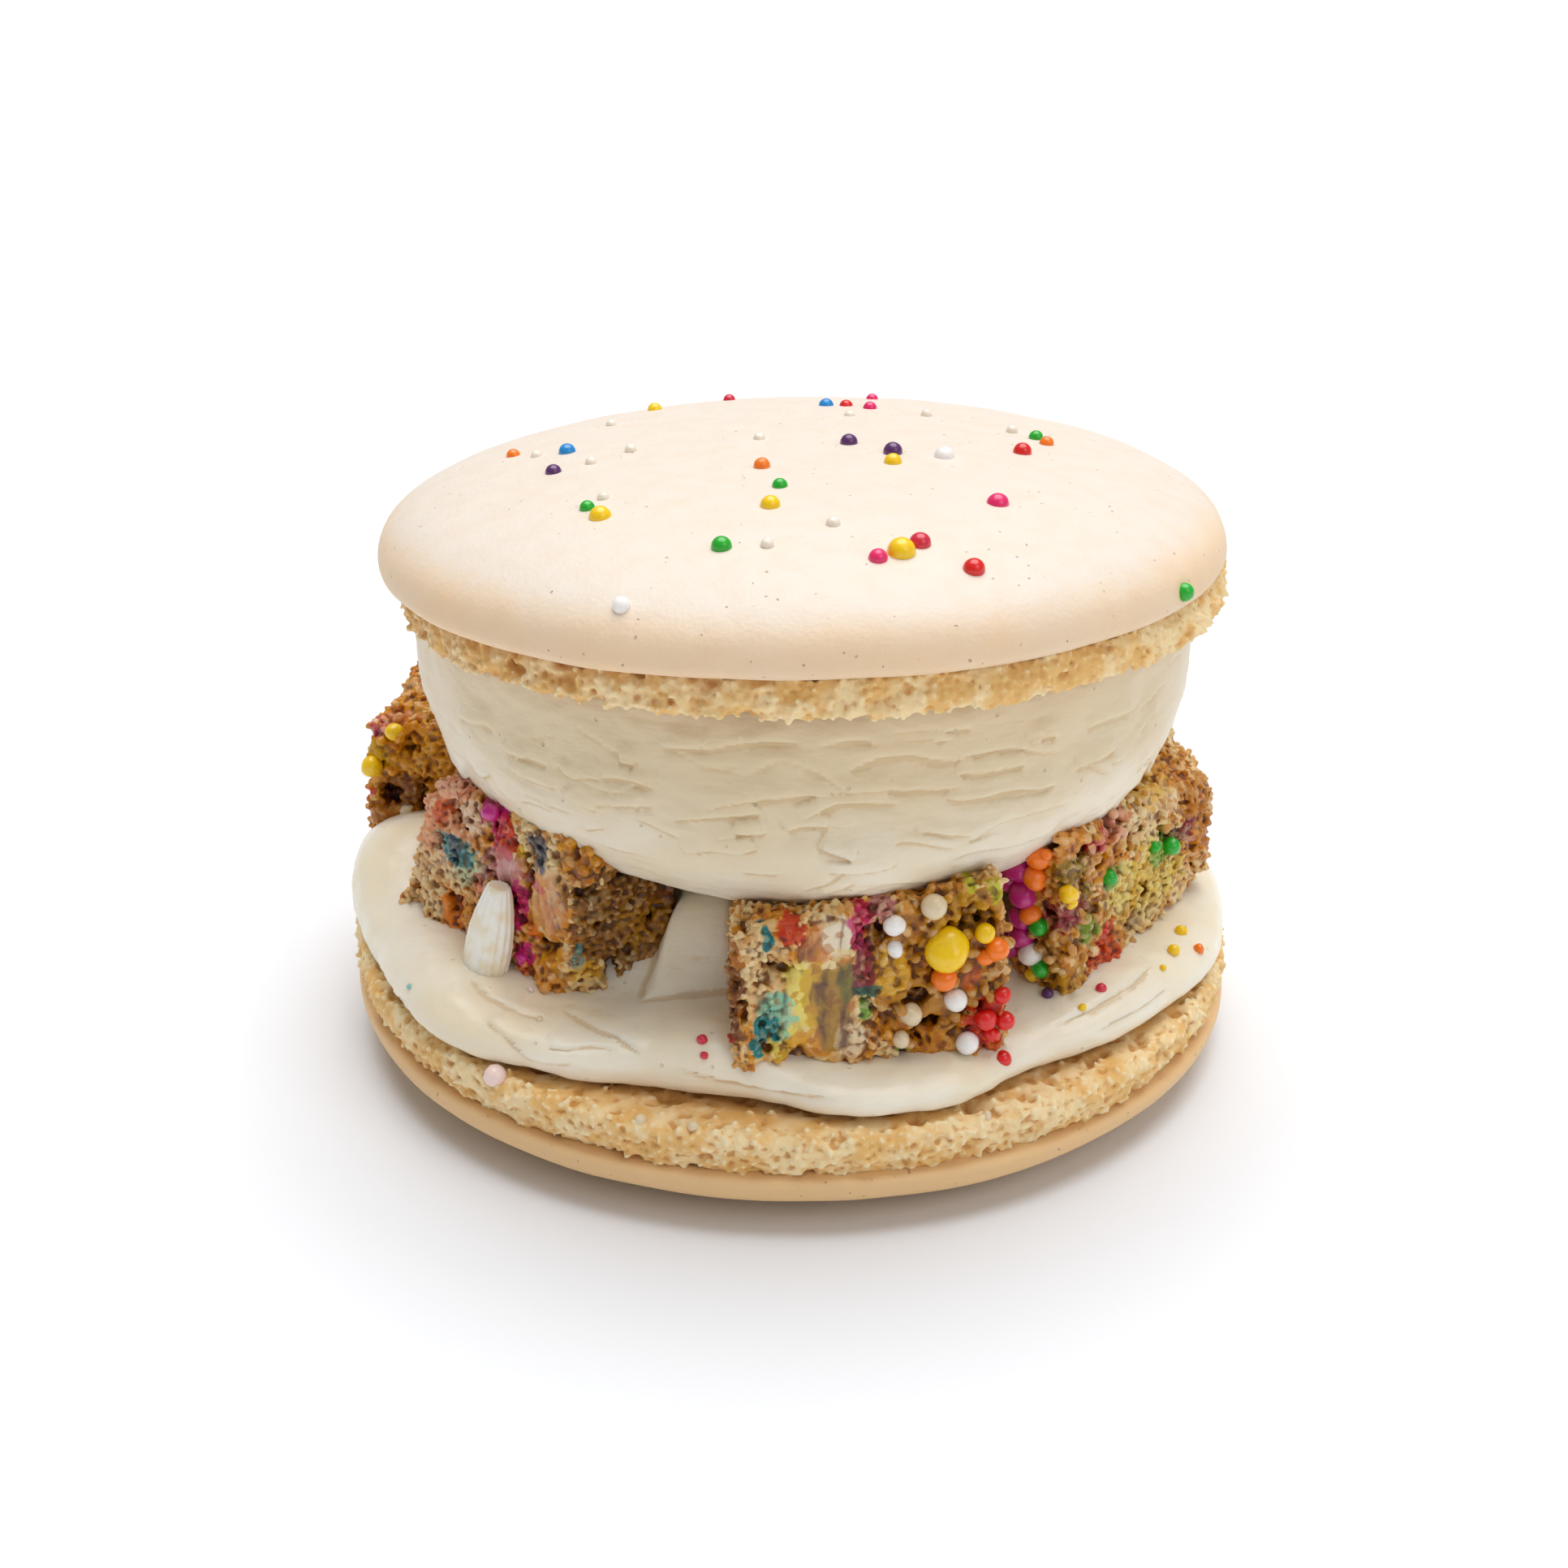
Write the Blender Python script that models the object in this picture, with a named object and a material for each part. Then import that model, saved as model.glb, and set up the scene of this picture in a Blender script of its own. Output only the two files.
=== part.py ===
"""Macaron sandwich: two round almond shells, two layers of cream and a ring of confetti-cake chunks.

The lower shell lies dome down on a small flat spot. A mound of cream covers it, seven chunks of
cake stand in a ring in the mound, and a bowl of cream is pressed on top of them. The upper shell
sits on that bowl, a little tilted. Sizes below are in millimetres; meshes are finished in metres.
The origin is on the floor under the middle of the lower shell, +Z up and -Y towards the front.
"""

import math
import random

import bmesh
import bpy
from mathutils import Matrix, Vector, noise

MM = 0.001
GAP = 0.3                    # left between two pieces that touch
TURN_STEPS = 76              # sides of the shells
CREAM_STEPS = 60
SEED = 7

# Lower shell, dome down.
SPOT_RADIUS = 24.0           # flat spot that it rests on
LOWER_SKIN_RADIUS = 37.6     # widest line of the smooth skin
LOWER_SKIN_RISE = 4.2        # height of that line above the floor
LOWER_LIP_Z = 5.0            # where the skin ends and the ruffled foot begins
LOWER_FOOT_RADIUS = 38.0
LOWER_TOP_Z = 8.9            # flat inner face that carries the cream
LEAN = math.tan(math.radians(0.8))   # the right side is slightly lower than the left

# Upper shell, dome up, in its own frame: z = 0 is the lip of its skin.
UPPER_AT = (0.87, -0.75, 41.96)
UPPER_TILT = (-0.0735, -0.017, 0.0)  # the front edge and the right edge are higher
UPPER_LIP_RADIUS = 33.88
UPPER_SKIN_RADIUS = 34.26    # widest line of the skin
UPPER_BULGE_Z = 1.2          # height of that line
UPPER_DOME_RISE = 7.95       # from that line to the middle of the dome
UPPER_DOME_POWER = 2.3
UPPER_FOOT_RADIUS = 33.7
UPPER_FOOT_DEPTH = 3.26
UPPER_FOOT_AT_X = 0.87       # the foot grew a little to the right of its skin
RUFFLE = 0.45                # how far the foot's ruffles stand in or out

# Lower cream: radius of its edge on the shell, by compass angle from the front (+ is to the right).
CREAM_EDGE = {
    -180: 35.6, -135: 36.2, -100: 36.4, -81: 36.2, -67: 35.4, -48: 36.5, -30: 34.2, -18: 32.2,
    -3: 32.6, 8: 35.0, 20: 35.0, 33: 33.0, 50: 34.2, 75: 36.1, 105: 35.7, 145: 35.4,
}
CREAM_NOMINAL_EDGE = 35.0
CREAM_HUMPS = (              # compass angle, radius, height, width
    (-88.0, 32.5, 3.6, 7.5),
    (-10.0, 33.5, 0.8, 6.0),
    (-18.0, 22.0, 1.0, 4.0),
    (32.0, 33.0, -0.9, 6.0),
    (140.0, 32.0, 1.8, 8.0),
)
MOUND_TOP_Z = 18.2

# Upper cream: a bowl of cream, its rounded bottom down.
BOWL_AT_X = 1.2
BOWL_RADIUS = 32.0
BOWL_BOTTOM_Z = 18.5
BOWL_RIM_Z = 38.0
BOWL_POWER = 3.0
BOWL_STRETCH_FROM_Z = 30.0   # above this the bowl follows the tilt of the upper shell
BOWL_BULGES = (              # compass angle, height, how far out, spread in degrees and in height
    (6.0, 27.0, 2.0, 24.0, 4.5),
)
WRINKLE = 0.5

# Cake chunks: four corners of the bottom and of the top, both starting at the front left.
CHUNKS = {
    "cake_front": (
        ((-4.3, -33.8, 11.0), (16.8, -29.3, 10.8), (13.0, -14.5, 11.0), (-3.8, -18.0, 11.0)),
        ((-4.9, -33.7, 26.2), (16.1, -29.7, 27.2), (12.6, -15.0, 24.6), (-4.2, -18.5, 23.4)),
    ),
    "cake_left": (
        ((-33.0, -9.6, 11.5), (-19.9, -21.8, 10.8), (-12.3, -21.9, 11.0), (-21.0, -1.5, 11.0)),
        ((-28.2, -12.6, 26.2), (-15.2, -26.0, 27.3), (-8.6, -19.8, 25.0), (-19.0, -4.0, 25.5)),
    ),
    "cake_right": (
        ((16.8, -18.0, 11.0), (21.8, -23.2, 10.6), (36.2, -2.5, 13.2), (27.5, 5.5, 12.0)),
        ((17.0, -21.5, 27.4), (20.6, -25.0, 27.9), (35.6, -3.0, 22.6), (31.6, 4.8, 25.6)),
    ),
    "cake_back_left": (
        ((-35.5, 19.0, 12.5), (-37.3, 4.8, 12.8), (-25.0, 2.0, 11.0), (-23.0, 16.0, 11.0)),
        ((-33.2, 14.5, 26.8), (-37.1, 4.6, 23.2), (-25.0, 3.2, 26.0), (-22.0, 14.0, 26.0)),
    ),
}
HIDDEN_CHUNKS = {"cake_back_right": 128.0, "cake_back": 169.0, "cake_rear_left": 210.0}
HIDDEN_RADIUS = 26.0         # from the middle to the middle of a chunk at the back
HIDDEN_SIZE = (15.0, 14.0, 14.5)     # width, depth and height
HIDDEN_FOOT_Z = 11.2
HIDDEN_UNEVEN = 0.7          # how far each of their corners may be off
CHUNK_CUTS = 4               # rows of crumb relief along each side
HIDDEN_CUTS = 3
CHUNK_BARREL = 0.5           # how far a chunk's sides belly out
CRUMB = 0.38                 # depth of the crumb relief
CHUNK_ROOM = 0.8             # how much larger than a chunk its socket in the cream is

# Round sprinkles on the cake: face, share of the width, share of the height, diameter.
# Face 0 runs from the first corner to the second, face 1 from the second to the third.
CAKE_SPRINKLES = {
    "cake_front": (
        (0, 0.77, 0.67, 2.9), (0, 0.91, 0.71, 1.6), (0, 0.76, 0.50, 2.0), (0, 0.95, 0.62, 1.7),
        (0, 0.80, 0.37, 1.8), (0, 0.84, 0.12, 1.8), (0, 0.60, 0.18, 1.5), (0, 0.97, 0.36, 1.5),
        (0, 0.91, 0.24, 1.6), (0, 0.98, 0.22, 1.5), (0, 0.96, 0.02, 1.5), (0, 0.59, 0.85, 1.7),
        (0, 0.73, 0.91, 1.9), (0, 0.63, 0.31, 1.6),
    ),
    "cake_left": (
        (0, 0.24, 0.67, 1.6), (0, 0.42, 0.90, 1.6), (0, 0.74, 0.80, 1.5), (0, 0.80, 0.52, 1.4),
    ),
    "cake_right": (
        (0, 0.16, 0.72, 1.7), (0, 0.28, 0.59, 1.7), (0, 0.24, 0.40, 1.8), (0, 0.60, 0.80, 1.6),
        (0, 0.48, 0.53, 1.7), (0, 0.60, 0.42, 1.4), (0, 0.66, 0.24, 1.4), (0, 0.48, 0.30, 1.8),
        (1, 0.28, 0.64, 1.4), (1, 0.04, 0.66, 1.6), (1, 0.64, 0.61, 2.3), (1, 0.17, 0.90, 1.4),
    ),
    "cake_back_left": ((1, 0.20, 0.88, 1.7), (1, 0.06, 0.70, 1.9)),
}

# The white chip that sticks out of the left chunk.
CHIP_TOP = (-23.3, -19.1, 20.8)
CHIP_FOOT = (-25.0, -18.9, 12.6)
CHIP_OUT = (-0.66, -0.75, 0.0)       # the way its broad side faces
CHIP_WIDTH = 4.0
CHIP_DEPTH = 3.0
CHIP_ROOM = 0.4              # how much larger than the chip its socket is, all round

# Round sprinkles on the upper shell, in its own frame: x, y, diameter, by colour.
SHELL_SPRINKLES = {
    "blue": ((2.3, 14.4, 1.2), (-18.9, 1.2, 1.3), (0.5, 33.2, 1.2)),
    "red": ((4.0, 14.2, 1.1), (17.7, -2.2, 1.4), (12.2, -26.8, 1.5), (-14.0, 30.2, 1.3)),
    "pink": ((6.0, 12.9, 1.1), (14.7, -16.0, 1.6), (5.4, -26.4, 1.3), (6.4, 20.1, 1.0)),
    "orange": ((-23.5, 3.2, 1.1), (-3.0, -8.0, 1.2), (20.0, 1.6, 1.1), (24.0, 23.0, 1.2)),
    "purple": ((-19.5, -5.0, 1.2), (3.9, -1.4, 1.3), (7.3, -4.4, 1.4)),
    "green": (
        (-16.1, -15.2, 1.1), (-1.6, -13.3, 1.1), (19.3, 3.4, 1.1), (-5.8, -24.2, 1.4),
        (28.5, -19.0, 1.3), (-25.5, 21.4, 1.2),
    ),
    "yellow": (
        (-15.0, -17.2, 1.6), (-2.3, -17.4, 1.4), (7.2, -7.2, 1.3), (7.1, -25.5, 1.9),
        (-12.6, 17.9, 1.2), (12.5, 30.8, 1.4),
    ),
    "rose": ((8.5, -24.1, 1.5), (-6.2, 22.0, 1.0)),
    "white": (
        (11.3, -5.3, 1.5), (-12.8, -29.6, 1.2), (-21.4, 1.4, 1.0), (-16.6, -3.6, 1.0),
        (-13.6, -0.9, 1.0), (-15.0, -13.4, 1.0), (-3.3, 0.6, 1.0), (-2.5, -24.4, 1.0),
        (2.3, -21.2, 1.1), (4.2, 9.1, 1.0), (10.7, 10.4, 1.0), (17.5, 5.4, 1.0),
        (-15.9, 10.6, 1.0),
    ),
}
SHELL_SPRINKLE_SINK = 0.25   # share of the diameter that is sunk in the skin
CAKE_SPRINKLE_OUT = 0.15     # share of the diameter by which the middle stands out of the cake
SPRINKLE_ROOM = 0.72         # how much wider than a sprinkle its socket in the cream is

# Base colour, roughness and metallic value, by material.
MATERIALS = {
    "shell": ((0.86, 0.72, 0.55), 0.62, 0.0),
    "cream": ((0.86, 0.82, 0.71), 0.42, 0.0),
    "cake": ((0.52, 0.34, 0.14), 0.80, 0.0),
    "chip": ((0.85, 0.80, 0.66), 0.50, 0.0),
}


def clear_scene():
    for item in list(bpy.data.objects):
        bpy.data.objects.remove(item, do_unlink=True)


def make_material(name):
    colour, roughness, metallic = MATERIALS[name]
    material = bpy.data.materials.new(name)
    material.use_nodes = True
    shader = material.node_tree.nodes["Principled BSDF"]
    shader.inputs["Base Color"].default_value = (*colour, 1.0)
    shader.inputs["Roughness"].default_value = roughness
    shader.inputs["Metallic"].default_value = metallic
    material.diffuse_color = (*colour, 1.0)
    return material


def smoothstep(low, high, value):
    share = min(1.0, max(0.0, (value - low) / (high - low)))
    return share * share * (3.0 - 2.0 * share)


def grain(point, size, offset=0.0):
    """Smooth noise from -1 to 1 whose lumps are about `size` mm wide."""
    return noise.noise(Vector(point) / size + Vector((offset, offset * 0.7, -offset)))


def compass(x, y):
    """Angle in degrees from the front, positive towards the right."""
    return math.degrees(math.atan2(x, -y))


def at_compass(angle, radius):
    turn = math.radians(angle)
    return radius * math.sin(turn), -radius * math.cos(turn)


def turned(profile, steps):
    """Spin an outline of (radius, z) points, bottom pole to top pole, into a closed body."""
    body = bmesh.new()
    points = [body.verts.new((radius, 0.0, z)) for radius, z in profile]
    edges = [body.edges.new(pair) for pair in zip(points, points[1:])]
    bmesh.ops.spin(
        body, geom=points + edges, cent=(0, 0, 0), axis=(0, 0, 1),
        angle=math.tau, steps=steps, use_duplicate=False,
    )
    bmesh.ops.remove_doubles(body, verts=body.verts, dist=0.001)
    bmesh.ops.recalc_face_normals(body, faces=body.faces)
    return body


def finish(body, name, material, collection=None):
    """Turn a bmesh in millimetres into an object in metres."""
    bmesh.ops.triangulate(body, faces=body.faces)
    body.transform(Matrix.Scale(MM, 4))
    mesh = bpy.data.meshes.new(name)
    body.to_mesh(mesh)
    body.free()
    mesh.materials.append(material)
    mesh.shade_smooth()
    mesh.set_sharp_from_angle(angle=math.radians(50))
    item = bpy.data.objects.new(name, mesh)
    (collection or bpy.context.scene.collection).objects.link(item)
    return item


def largest_part(mesh):
    """Keep the biggest of the separate bodies in a mesh and drop any scrap."""
    body = bmesh.new()
    body.from_mesh(mesh)
    left = set(body.verts)
    groups = []
    while left:
        stack = [left.pop()]
        group = set(stack)
        while stack:
            for edge in stack.pop().link_edges:
                for vert in edge.verts:
                    if vert in left:
                        left.discard(vert)
                        group.add(vert)
                        stack.append(vert)
        groups.append(group)
    keep = max(groups, key=len)
    scrap = [vert for vert in body.verts if vert not in keep]
    bmesh.ops.delete(body, geom=scrap, context="VERTS")
    body.to_mesh(mesh)
    body.free()


def combine(item, tools, operation):
    """Union or subtract a whole collection at once, then remove the collection's objects."""
    modifier = item.modifiers.new("combine", "BOOLEAN")
    modifier.operation = operation
    modifier.operand_type = "COLLECTION"
    modifier.collection = tools
    modifier.solver = "EXACT"
    bpy.context.view_layer.update()
    result = item.evaluated_get(bpy.context.evaluated_depsgraph_get())
    mesh = bpy.data.meshes.new_from_object(result)
    item.modifiers.clear()
    item.data = mesh
    mesh.name = item.name
    largest_part(mesh)
    for tool in list(tools.objects):
        bpy.data.objects.remove(tool, do_unlink=True)
    bpy.data.collections.remove(tools)


def tool_collection(name):
    tools = bpy.data.collections.new(name)
    bpy.context.scene.collection.children.link(tools)
    return tools


def make_ball(centre, diameter, material, tools, segments=6, rings=4):
    body = bmesh.new()
    bmesh.ops.create_uvsphere(body, u_segments=segments, v_segments=rings, radius=diameter / 2.0)
    body.transform(Matrix.Translation(centre))
    return finish(body, "sprinkle", material, tools)


# Shells

def dome_height(radius):
    """Height of the upper shell's skin above its lip, in its own frame."""
    share = min(1.0, radius / UPPER_SKIN_RADIUS)
    return UPPER_BULGE_Z + UPPER_DOME_RISE * (1.0 - share ** UPPER_DOME_POWER) ** (1.0 / UPPER_DOME_POWER)


def ruffle(body, low_z, high_z, offset):
    """Push the foot's skirt in and out, as the batter did when it rose in the oven."""
    for vert in body.verts:
        if low_z < vert.co.z < high_z and vert.co.xy.length > 30.0:
            depth = RUFFLE * (grain(vert.co, 3.4, offset) + 0.6 * grain(vert.co, 7.0, offset + 3.0))
            vert.co.xy *= 1.0 + depth / vert.co.xy.length


def make_lower_shell(material):
    profile = [(0.0, 0.0), (SPOT_RADIUS * 0.5, 0.0), (SPOT_RADIUS, 0.0)]
    for step in range(1, 6):
        turn = math.radians(90.0 * step / 5)
        out = (LOWER_SKIN_RADIUS - SPOT_RADIUS) * math.sin(turn)
        profile.append((SPOT_RADIUS + out, LOWER_SKIN_RISE * (1.0 - math.cos(turn))))
    profile += [
        (LOWER_SKIN_RADIUS - 0.4, LOWER_LIP_Z),
        (LOWER_FOOT_RADIUS - 0.7, LOWER_LIP_Z + 0.9),
        (LOWER_FOOT_RADIUS - 0.3, LOWER_LIP_Z + 1.9),
        (LOWER_FOOT_RADIUS - 0.1, LOWER_LIP_Z + 2.9),
        (LOWER_FOOT_RADIUS - 0.3, LOWER_TOP_Z - 0.3),
        (LOWER_FOOT_RADIUS - 1.1, LOWER_TOP_Z),
        (18.0, LOWER_TOP_Z),
        (0.0, LOWER_TOP_Z),
    ]
    body = turned(profile, TURN_STEPS)
    ruffle(body, LOWER_LIP_Z + 0.1, LOWER_TOP_Z + 0.1, 1.0)
    for vert in body.verts:
        vert.co.z -= LEAN * vert.co.x * min(1.0, vert.co.z / LOWER_LIP_Z)
    return finish(body, "bottom_shell", material)


def make_upper_shell(material):
    profile = [
        (0.0, -UPPER_FOOT_DEPTH),
        (17.0, -UPPER_FOOT_DEPTH),
        (UPPER_FOOT_RADIUS - 1.0, -UPPER_FOOT_DEPTH),
        (UPPER_FOOT_RADIUS, -UPPER_FOOT_DEPTH + 0.4),
        (UPPER_FOOT_RADIUS - 0.1, -UPPER_FOOT_DEPTH + 1.2),
        (UPPER_FOOT_RADIUS - 0.3, -UPPER_FOOT_DEPTH + 2.1),
        (UPPER_FOOT_RADIUS - 0.9, -0.3),
        (UPPER_LIP_RADIUS, 0.0),
    ]
    dome_steps = 7
    for step in range(dome_steps + 1):
        turn = math.radians(90.0 * step / dome_steps)
        out = math.cos(turn) ** (2.0 / UPPER_DOME_POWER) if step < dome_steps else 0.0
        up = math.sin(turn) ** (2.0 / UPPER_DOME_POWER) if step else 0.0
        profile.append((UPPER_SKIN_RADIUS * out, UPPER_BULGE_Z + UPPER_DOME_RISE * up))
    body = turned(profile, TURN_STEPS)
    ruffle(body, -UPPER_FOOT_DEPTH + 0.1, -0.1, 5.0)
    for vert in body.verts:
        vert.co.x += UPPER_FOOT_AT_X * smoothstep(0.0, 0.4, -vert.co.z)
    shell = finish(body, "top_shell", material)
    tools = tool_collection("shell_sprinkles")
    for places in SHELL_SPRINKLES.values():
        for x, y, diameter in places:
            lift = (0.5 - SHELL_SPRINKLE_SINK) * diameter
            centre = Vector((x, y, dome_height(math.hypot(x, y)) + lift))
            make_ball(centre, diameter, material, tools)
    combine(shell, tools, "UNION")
    shell.location = Vector(UPPER_AT) * MM
    shell.rotation_euler = UPPER_TILT
    return shell


# Cream

def bowl_height(radius):
    """Height of the upper cream's underside at a distance from its own axis."""
    share = min(1.0, radius / BOWL_RADIUS)
    return BOWL_RIM_Z - (BOWL_RIM_Z - BOWL_BOTTOM_Z) * (1.0 - share ** BOWL_POWER) ** (1.0 / BOWL_POWER)


def cream_edge(angle):
    """Radius of the lower cream's edge at a compass angle, eased between the named angles."""
    angles = sorted(CREAM_EDGE)
    angles.append(angles[0] + 360)
    while angle < angles[0]:
        angle += 360
    for low, high in zip(angles, angles[1:]):
        if low <= angle <= high:
            start = CREAM_EDGE[low]
            end = CREAM_EDGE[high if high in CREAM_EDGE else high - 360]
            return start + (end - start) * smoothstep(low, high, angle)
    return CREAM_NOMINAL_EDGE


def make_lower_cream(material):
    floor_z = LOWER_TOP_Z + GAP
    edge = CREAM_NOMINAL_EDGE
    profile = [
        (0.0, floor_z), (20.0, floor_z), (edge, floor_z), (edge + 1.1, floor_z + 0.8),
        (edge + 1.5, floor_z + 1.9), (edge + 0.9, floor_z + 3.0), (edge - 0.6, floor_z + 3.7),
        (edge - 3.5, floor_z + 4.1), (28.5, floor_z + 4.3), (25.6, 14.9), (22.8, 17.2),
        (19.8, 18.9), (15.0, MOUND_TOP_Z + 0.3), (8.0, MOUND_TOP_Z), (0.0, MOUND_TOP_Z),
    ]
    body = turned(profile, CREAM_STEPS)
    for vert in body.verts:
        x, y, z = vert.co
        radius = math.hypot(x, y)
        angle = compass(x, y)
        reach = cream_edge(angle) / CREAM_NOMINAL_EDGE
        if z > floor_z + 0.5:
            reach += 0.010 * grain(vert.co, 9.0, 2.0)
        share = smoothstep(15.0, 33.0, radius)
        vert.co.x = x * (1.0 + (reach - 1.0) * share)
        vert.co.y = y * (1.0 + (reach - 1.0) * share)
        if z > floor_z + 0.5:
            lift = 0.0
            for hump_angle, hump_radius, height, width in CREAM_HUMPS:
                hump_x, hump_y = at_compass(hump_angle, hump_radius)
                away = math.hypot(vert.co.x - hump_x, vert.co.y - hump_y)
                lift += height * math.exp(-((away / width) ** 2))
            rise = smoothstep(floor_z, floor_z + 3.7, z)
            z += lift * rise + 0.25 * grain(vert.co, 6.0, 4.0) * rise
            under = bowl_height(math.hypot(vert.co.x - BOWL_AT_X, vert.co.y)) - GAP - 0.1
            vert.co.z = min(z, under) if radius < 31.0 else z
        vert.co.z -= LEAN * vert.co.x * min(1.0, vert.co.z / LOWER_LIP_Z)
    return finish(body, "lower_cream", material)


def shell_underside(x, y):
    """Height of the upper shell's flat underside above a place, less the gap."""
    tilt_x, tilt_y, _ = UPPER_TILT
    at_x, at_y, at_z = UPPER_AT
    middle = at_z - UPPER_FOOT_DEPTH / (math.cos(tilt_x) * math.cos(tilt_y))
    return middle + math.tan(tilt_x) * (y - at_y) - math.tan(tilt_y) * (x - at_x) - GAP


def make_upper_cream(material):
    profile = [(0.0, BOWL_BOTTOM_Z)]
    bowl_steps = 10
    for step in range(1, bowl_steps + 1):
        turn = math.radians(90.0 * step / bowl_steps)
        out = math.sin(turn) ** (2.0 / BOWL_POWER) if step < bowl_steps else 1.0
        down = math.cos(turn) ** (2.0 / BOWL_POWER) if step < bowl_steps else 0.0
        profile.append((BOWL_RADIUS * out, BOWL_RIM_Z - (BOWL_RIM_Z - BOWL_BOTTOM_Z) * down))
    top_z = shell_underside(BOWL_AT_X, 0.0)
    profile += [(BOWL_RADIUS - 0.6, top_z), (16.0, top_z), (0.0, top_z)]
    body = turned(profile, CREAM_STEPS)
    for vert in body.verts:
        x, y, z = vert.co
        place = (x, y, z * 2.2)
        wrinkle = WRINKLE * (grain(place, 9.0, 8.0) + 0.5 * grain(place, 4.5, 9.0))
        for bulge_angle, bulge_z, out, wide, high in BOWL_BULGES:
            away = ((compass(x, y) - bulge_angle) / wide) ** 2 + ((z - bulge_z) / high) ** 2
            wrinkle += out * math.exp(-away)
        radius = math.hypot(x, y)
        if 15.0 < radius and BOWL_BOTTOM_Z + 1.0 < z < top_z - 0.1:
            vert.co.x = x * (1.0 + wrinkle / radius)
            vert.co.y = y * (1.0 + wrinkle / radius)
        vert.co.x += BOWL_AT_X
        follow = smoothstep(BOWL_STRETCH_FROM_Z, top_z, z)
        vert.co.z = z + follow * (shell_underside(vert.co.x, vert.co.y) - top_z)
    return finish(body, "upper_cream", material)


# Cake

def hidden_corners(angle, rng):
    """Eight uneven corners of a chunk that stands at a compass angle at the back of the ring."""
    width, depth, height = HIDDEN_SIZE
    middle_x, middle_y = at_compass(angle, HIDDEN_RADIUS)
    out = Vector((*at_compass(angle, 1.0), 0.0))
    side = Vector((-out.y, out.x, 0.0))
    corners = []
    for z in (HIDDEN_FOOT_Z, HIDDEN_FOOT_Z + height):
        ring = []
        for across, inward in ((-0.5, -0.5), (0.5, -0.5), (0.42, 0.5), (-0.42, 0.5)):
            point = Vector((middle_x, middle_y, z)) + side * across * width - out * inward * depth
            point += Vector([rng.uniform(-1.0, 1.0) for _ in range(3)]) * HIDDEN_UNEVEN
            ring.append(tuple(point))
        corners.append(tuple(ring))
    return tuple(corners)


def in_chunk(corners, across, inward, up):
    """Point of a chunk from its shares across, inward and up."""
    low, high = ([Vector(corner) for corner in ring] for ring in corners)
    points = []
    for ring in (low, high):
        front = ring[0].lerp(ring[1], across)
        back = ring[3].lerp(ring[2], across)
        points.append(front.lerp(back, inward))
    return points[0].lerp(points[1], up)


def chunk_middle(corners):
    return in_chunk(corners, 0.5, 0.5, 0.5)


def make_block(corners, cuts, grow, relief, offset):
    """A six-sided block with the given corners, its faces cut into rows and made crumbly."""
    body = bmesh.new()
    bmesh.ops.create_cube(body, size=1.0)
    if cuts:
        bmesh.ops.subdivide_edges(body, edges=body.edges, cuts=cuts, use_grid_fill=True)
    middle = chunk_middle(corners)
    for vert in body.verts:
        across, inward, up = (value + 0.5 for value in vert.co)
        point = in_chunk(corners, across, inward, up)
        out = Vector([max(-0.5, min(0.5, value)) * 2.0 for value in vert.co])
        belly = [1.0 - value * value for value in out]
        axes = [
            in_chunk(corners, 1.0, 0.5, 0.5) - middle,
            in_chunk(corners, 0.5, 1.0, 0.5) - middle,
            in_chunk(corners, 0.5, 0.5, 1.0) - middle,
        ]
        push = Vector()
        for index, axis in enumerate(axes):
            if abs(out[index]) > 0.99:
                others = belly[(index + 1) % 3] * belly[(index + 2) % 3]
                bump = CHUNK_BARREL * others * (1.0 if index < 2 else 0.4) + grow
                if relief:
                    bump += relief * grain(point, 2.6, offset + index)
                push += axis.normalized() * math.copysign(bump, out[index])
        vert.co = point + push
    body.normal_update()
    bmesh.ops.recalc_face_normals(body, faces=body.faces)
    return body


def sprinkle_places(name, corners):
    """Middle and diameter of each round sprinkle that lies on a chunk."""
    for face, across, up, diameter in CAKE_SPRINKLES.get(name, ()):
        if face == 0:
            point = in_chunk(corners, across, 0.0, up)
            behind = in_chunk(corners, across, 1.0, up)
        else:
            point = in_chunk(corners, 1.0, across, up)
            behind = in_chunk(corners, 0.0, across, up)
        out = (point - behind).normalized()
        yield point + out * (CHUNK_BARREL * 0.5 + CAKE_SPRINKLE_OUT * diameter), diameter


def chip_body(grow):
    """A pointed sliver with five ridges, broad in the middle and narrow at both ends."""
    top, foot = Vector(CHIP_TOP), Vector(CHIP_FOOT)
    along = top - foot
    out = Vector(CHIP_OUT)
    side = along.cross(out).normalized()
    body = bmesh.new()
    bmesh.ops.create_cone(body, cap_ends=True, segments=10, radius1=0.5, radius2=0.5, depth=1.0)
    bmesh.ops.subdivide_edges(
        body, edges=[edge for edge in body.edges if abs(edge.verts[0].co.z - edge.verts[1].co.z) > 0.5],
        cuts=4,
    )
    for vert in body.verts:
        share = vert.co.z + 0.5
        swell = 0.45 + 0.55 * math.sin(math.pi * min(1.0, share * 0.85 + 0.12))
        ridge = 1.0 + 0.10 * math.cos(5.0 * math.atan2(vert.co.y, vert.co.x))
        across = vert.co.x * (CHIP_WIDTH + 2.0 * grow) * swell * ridge
        thick = vert.co.y * (CHIP_DEPTH + 2.0 * grow) * swell * ridge
        length = share + (share - 0.5) * 2.0 * grow / along.length
        vert.co = foot + along * length + side * across + out * thick
    body.normal_update()
    bmesh.ops.recalc_face_normals(body, faces=body.faces)
    return body


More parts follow.
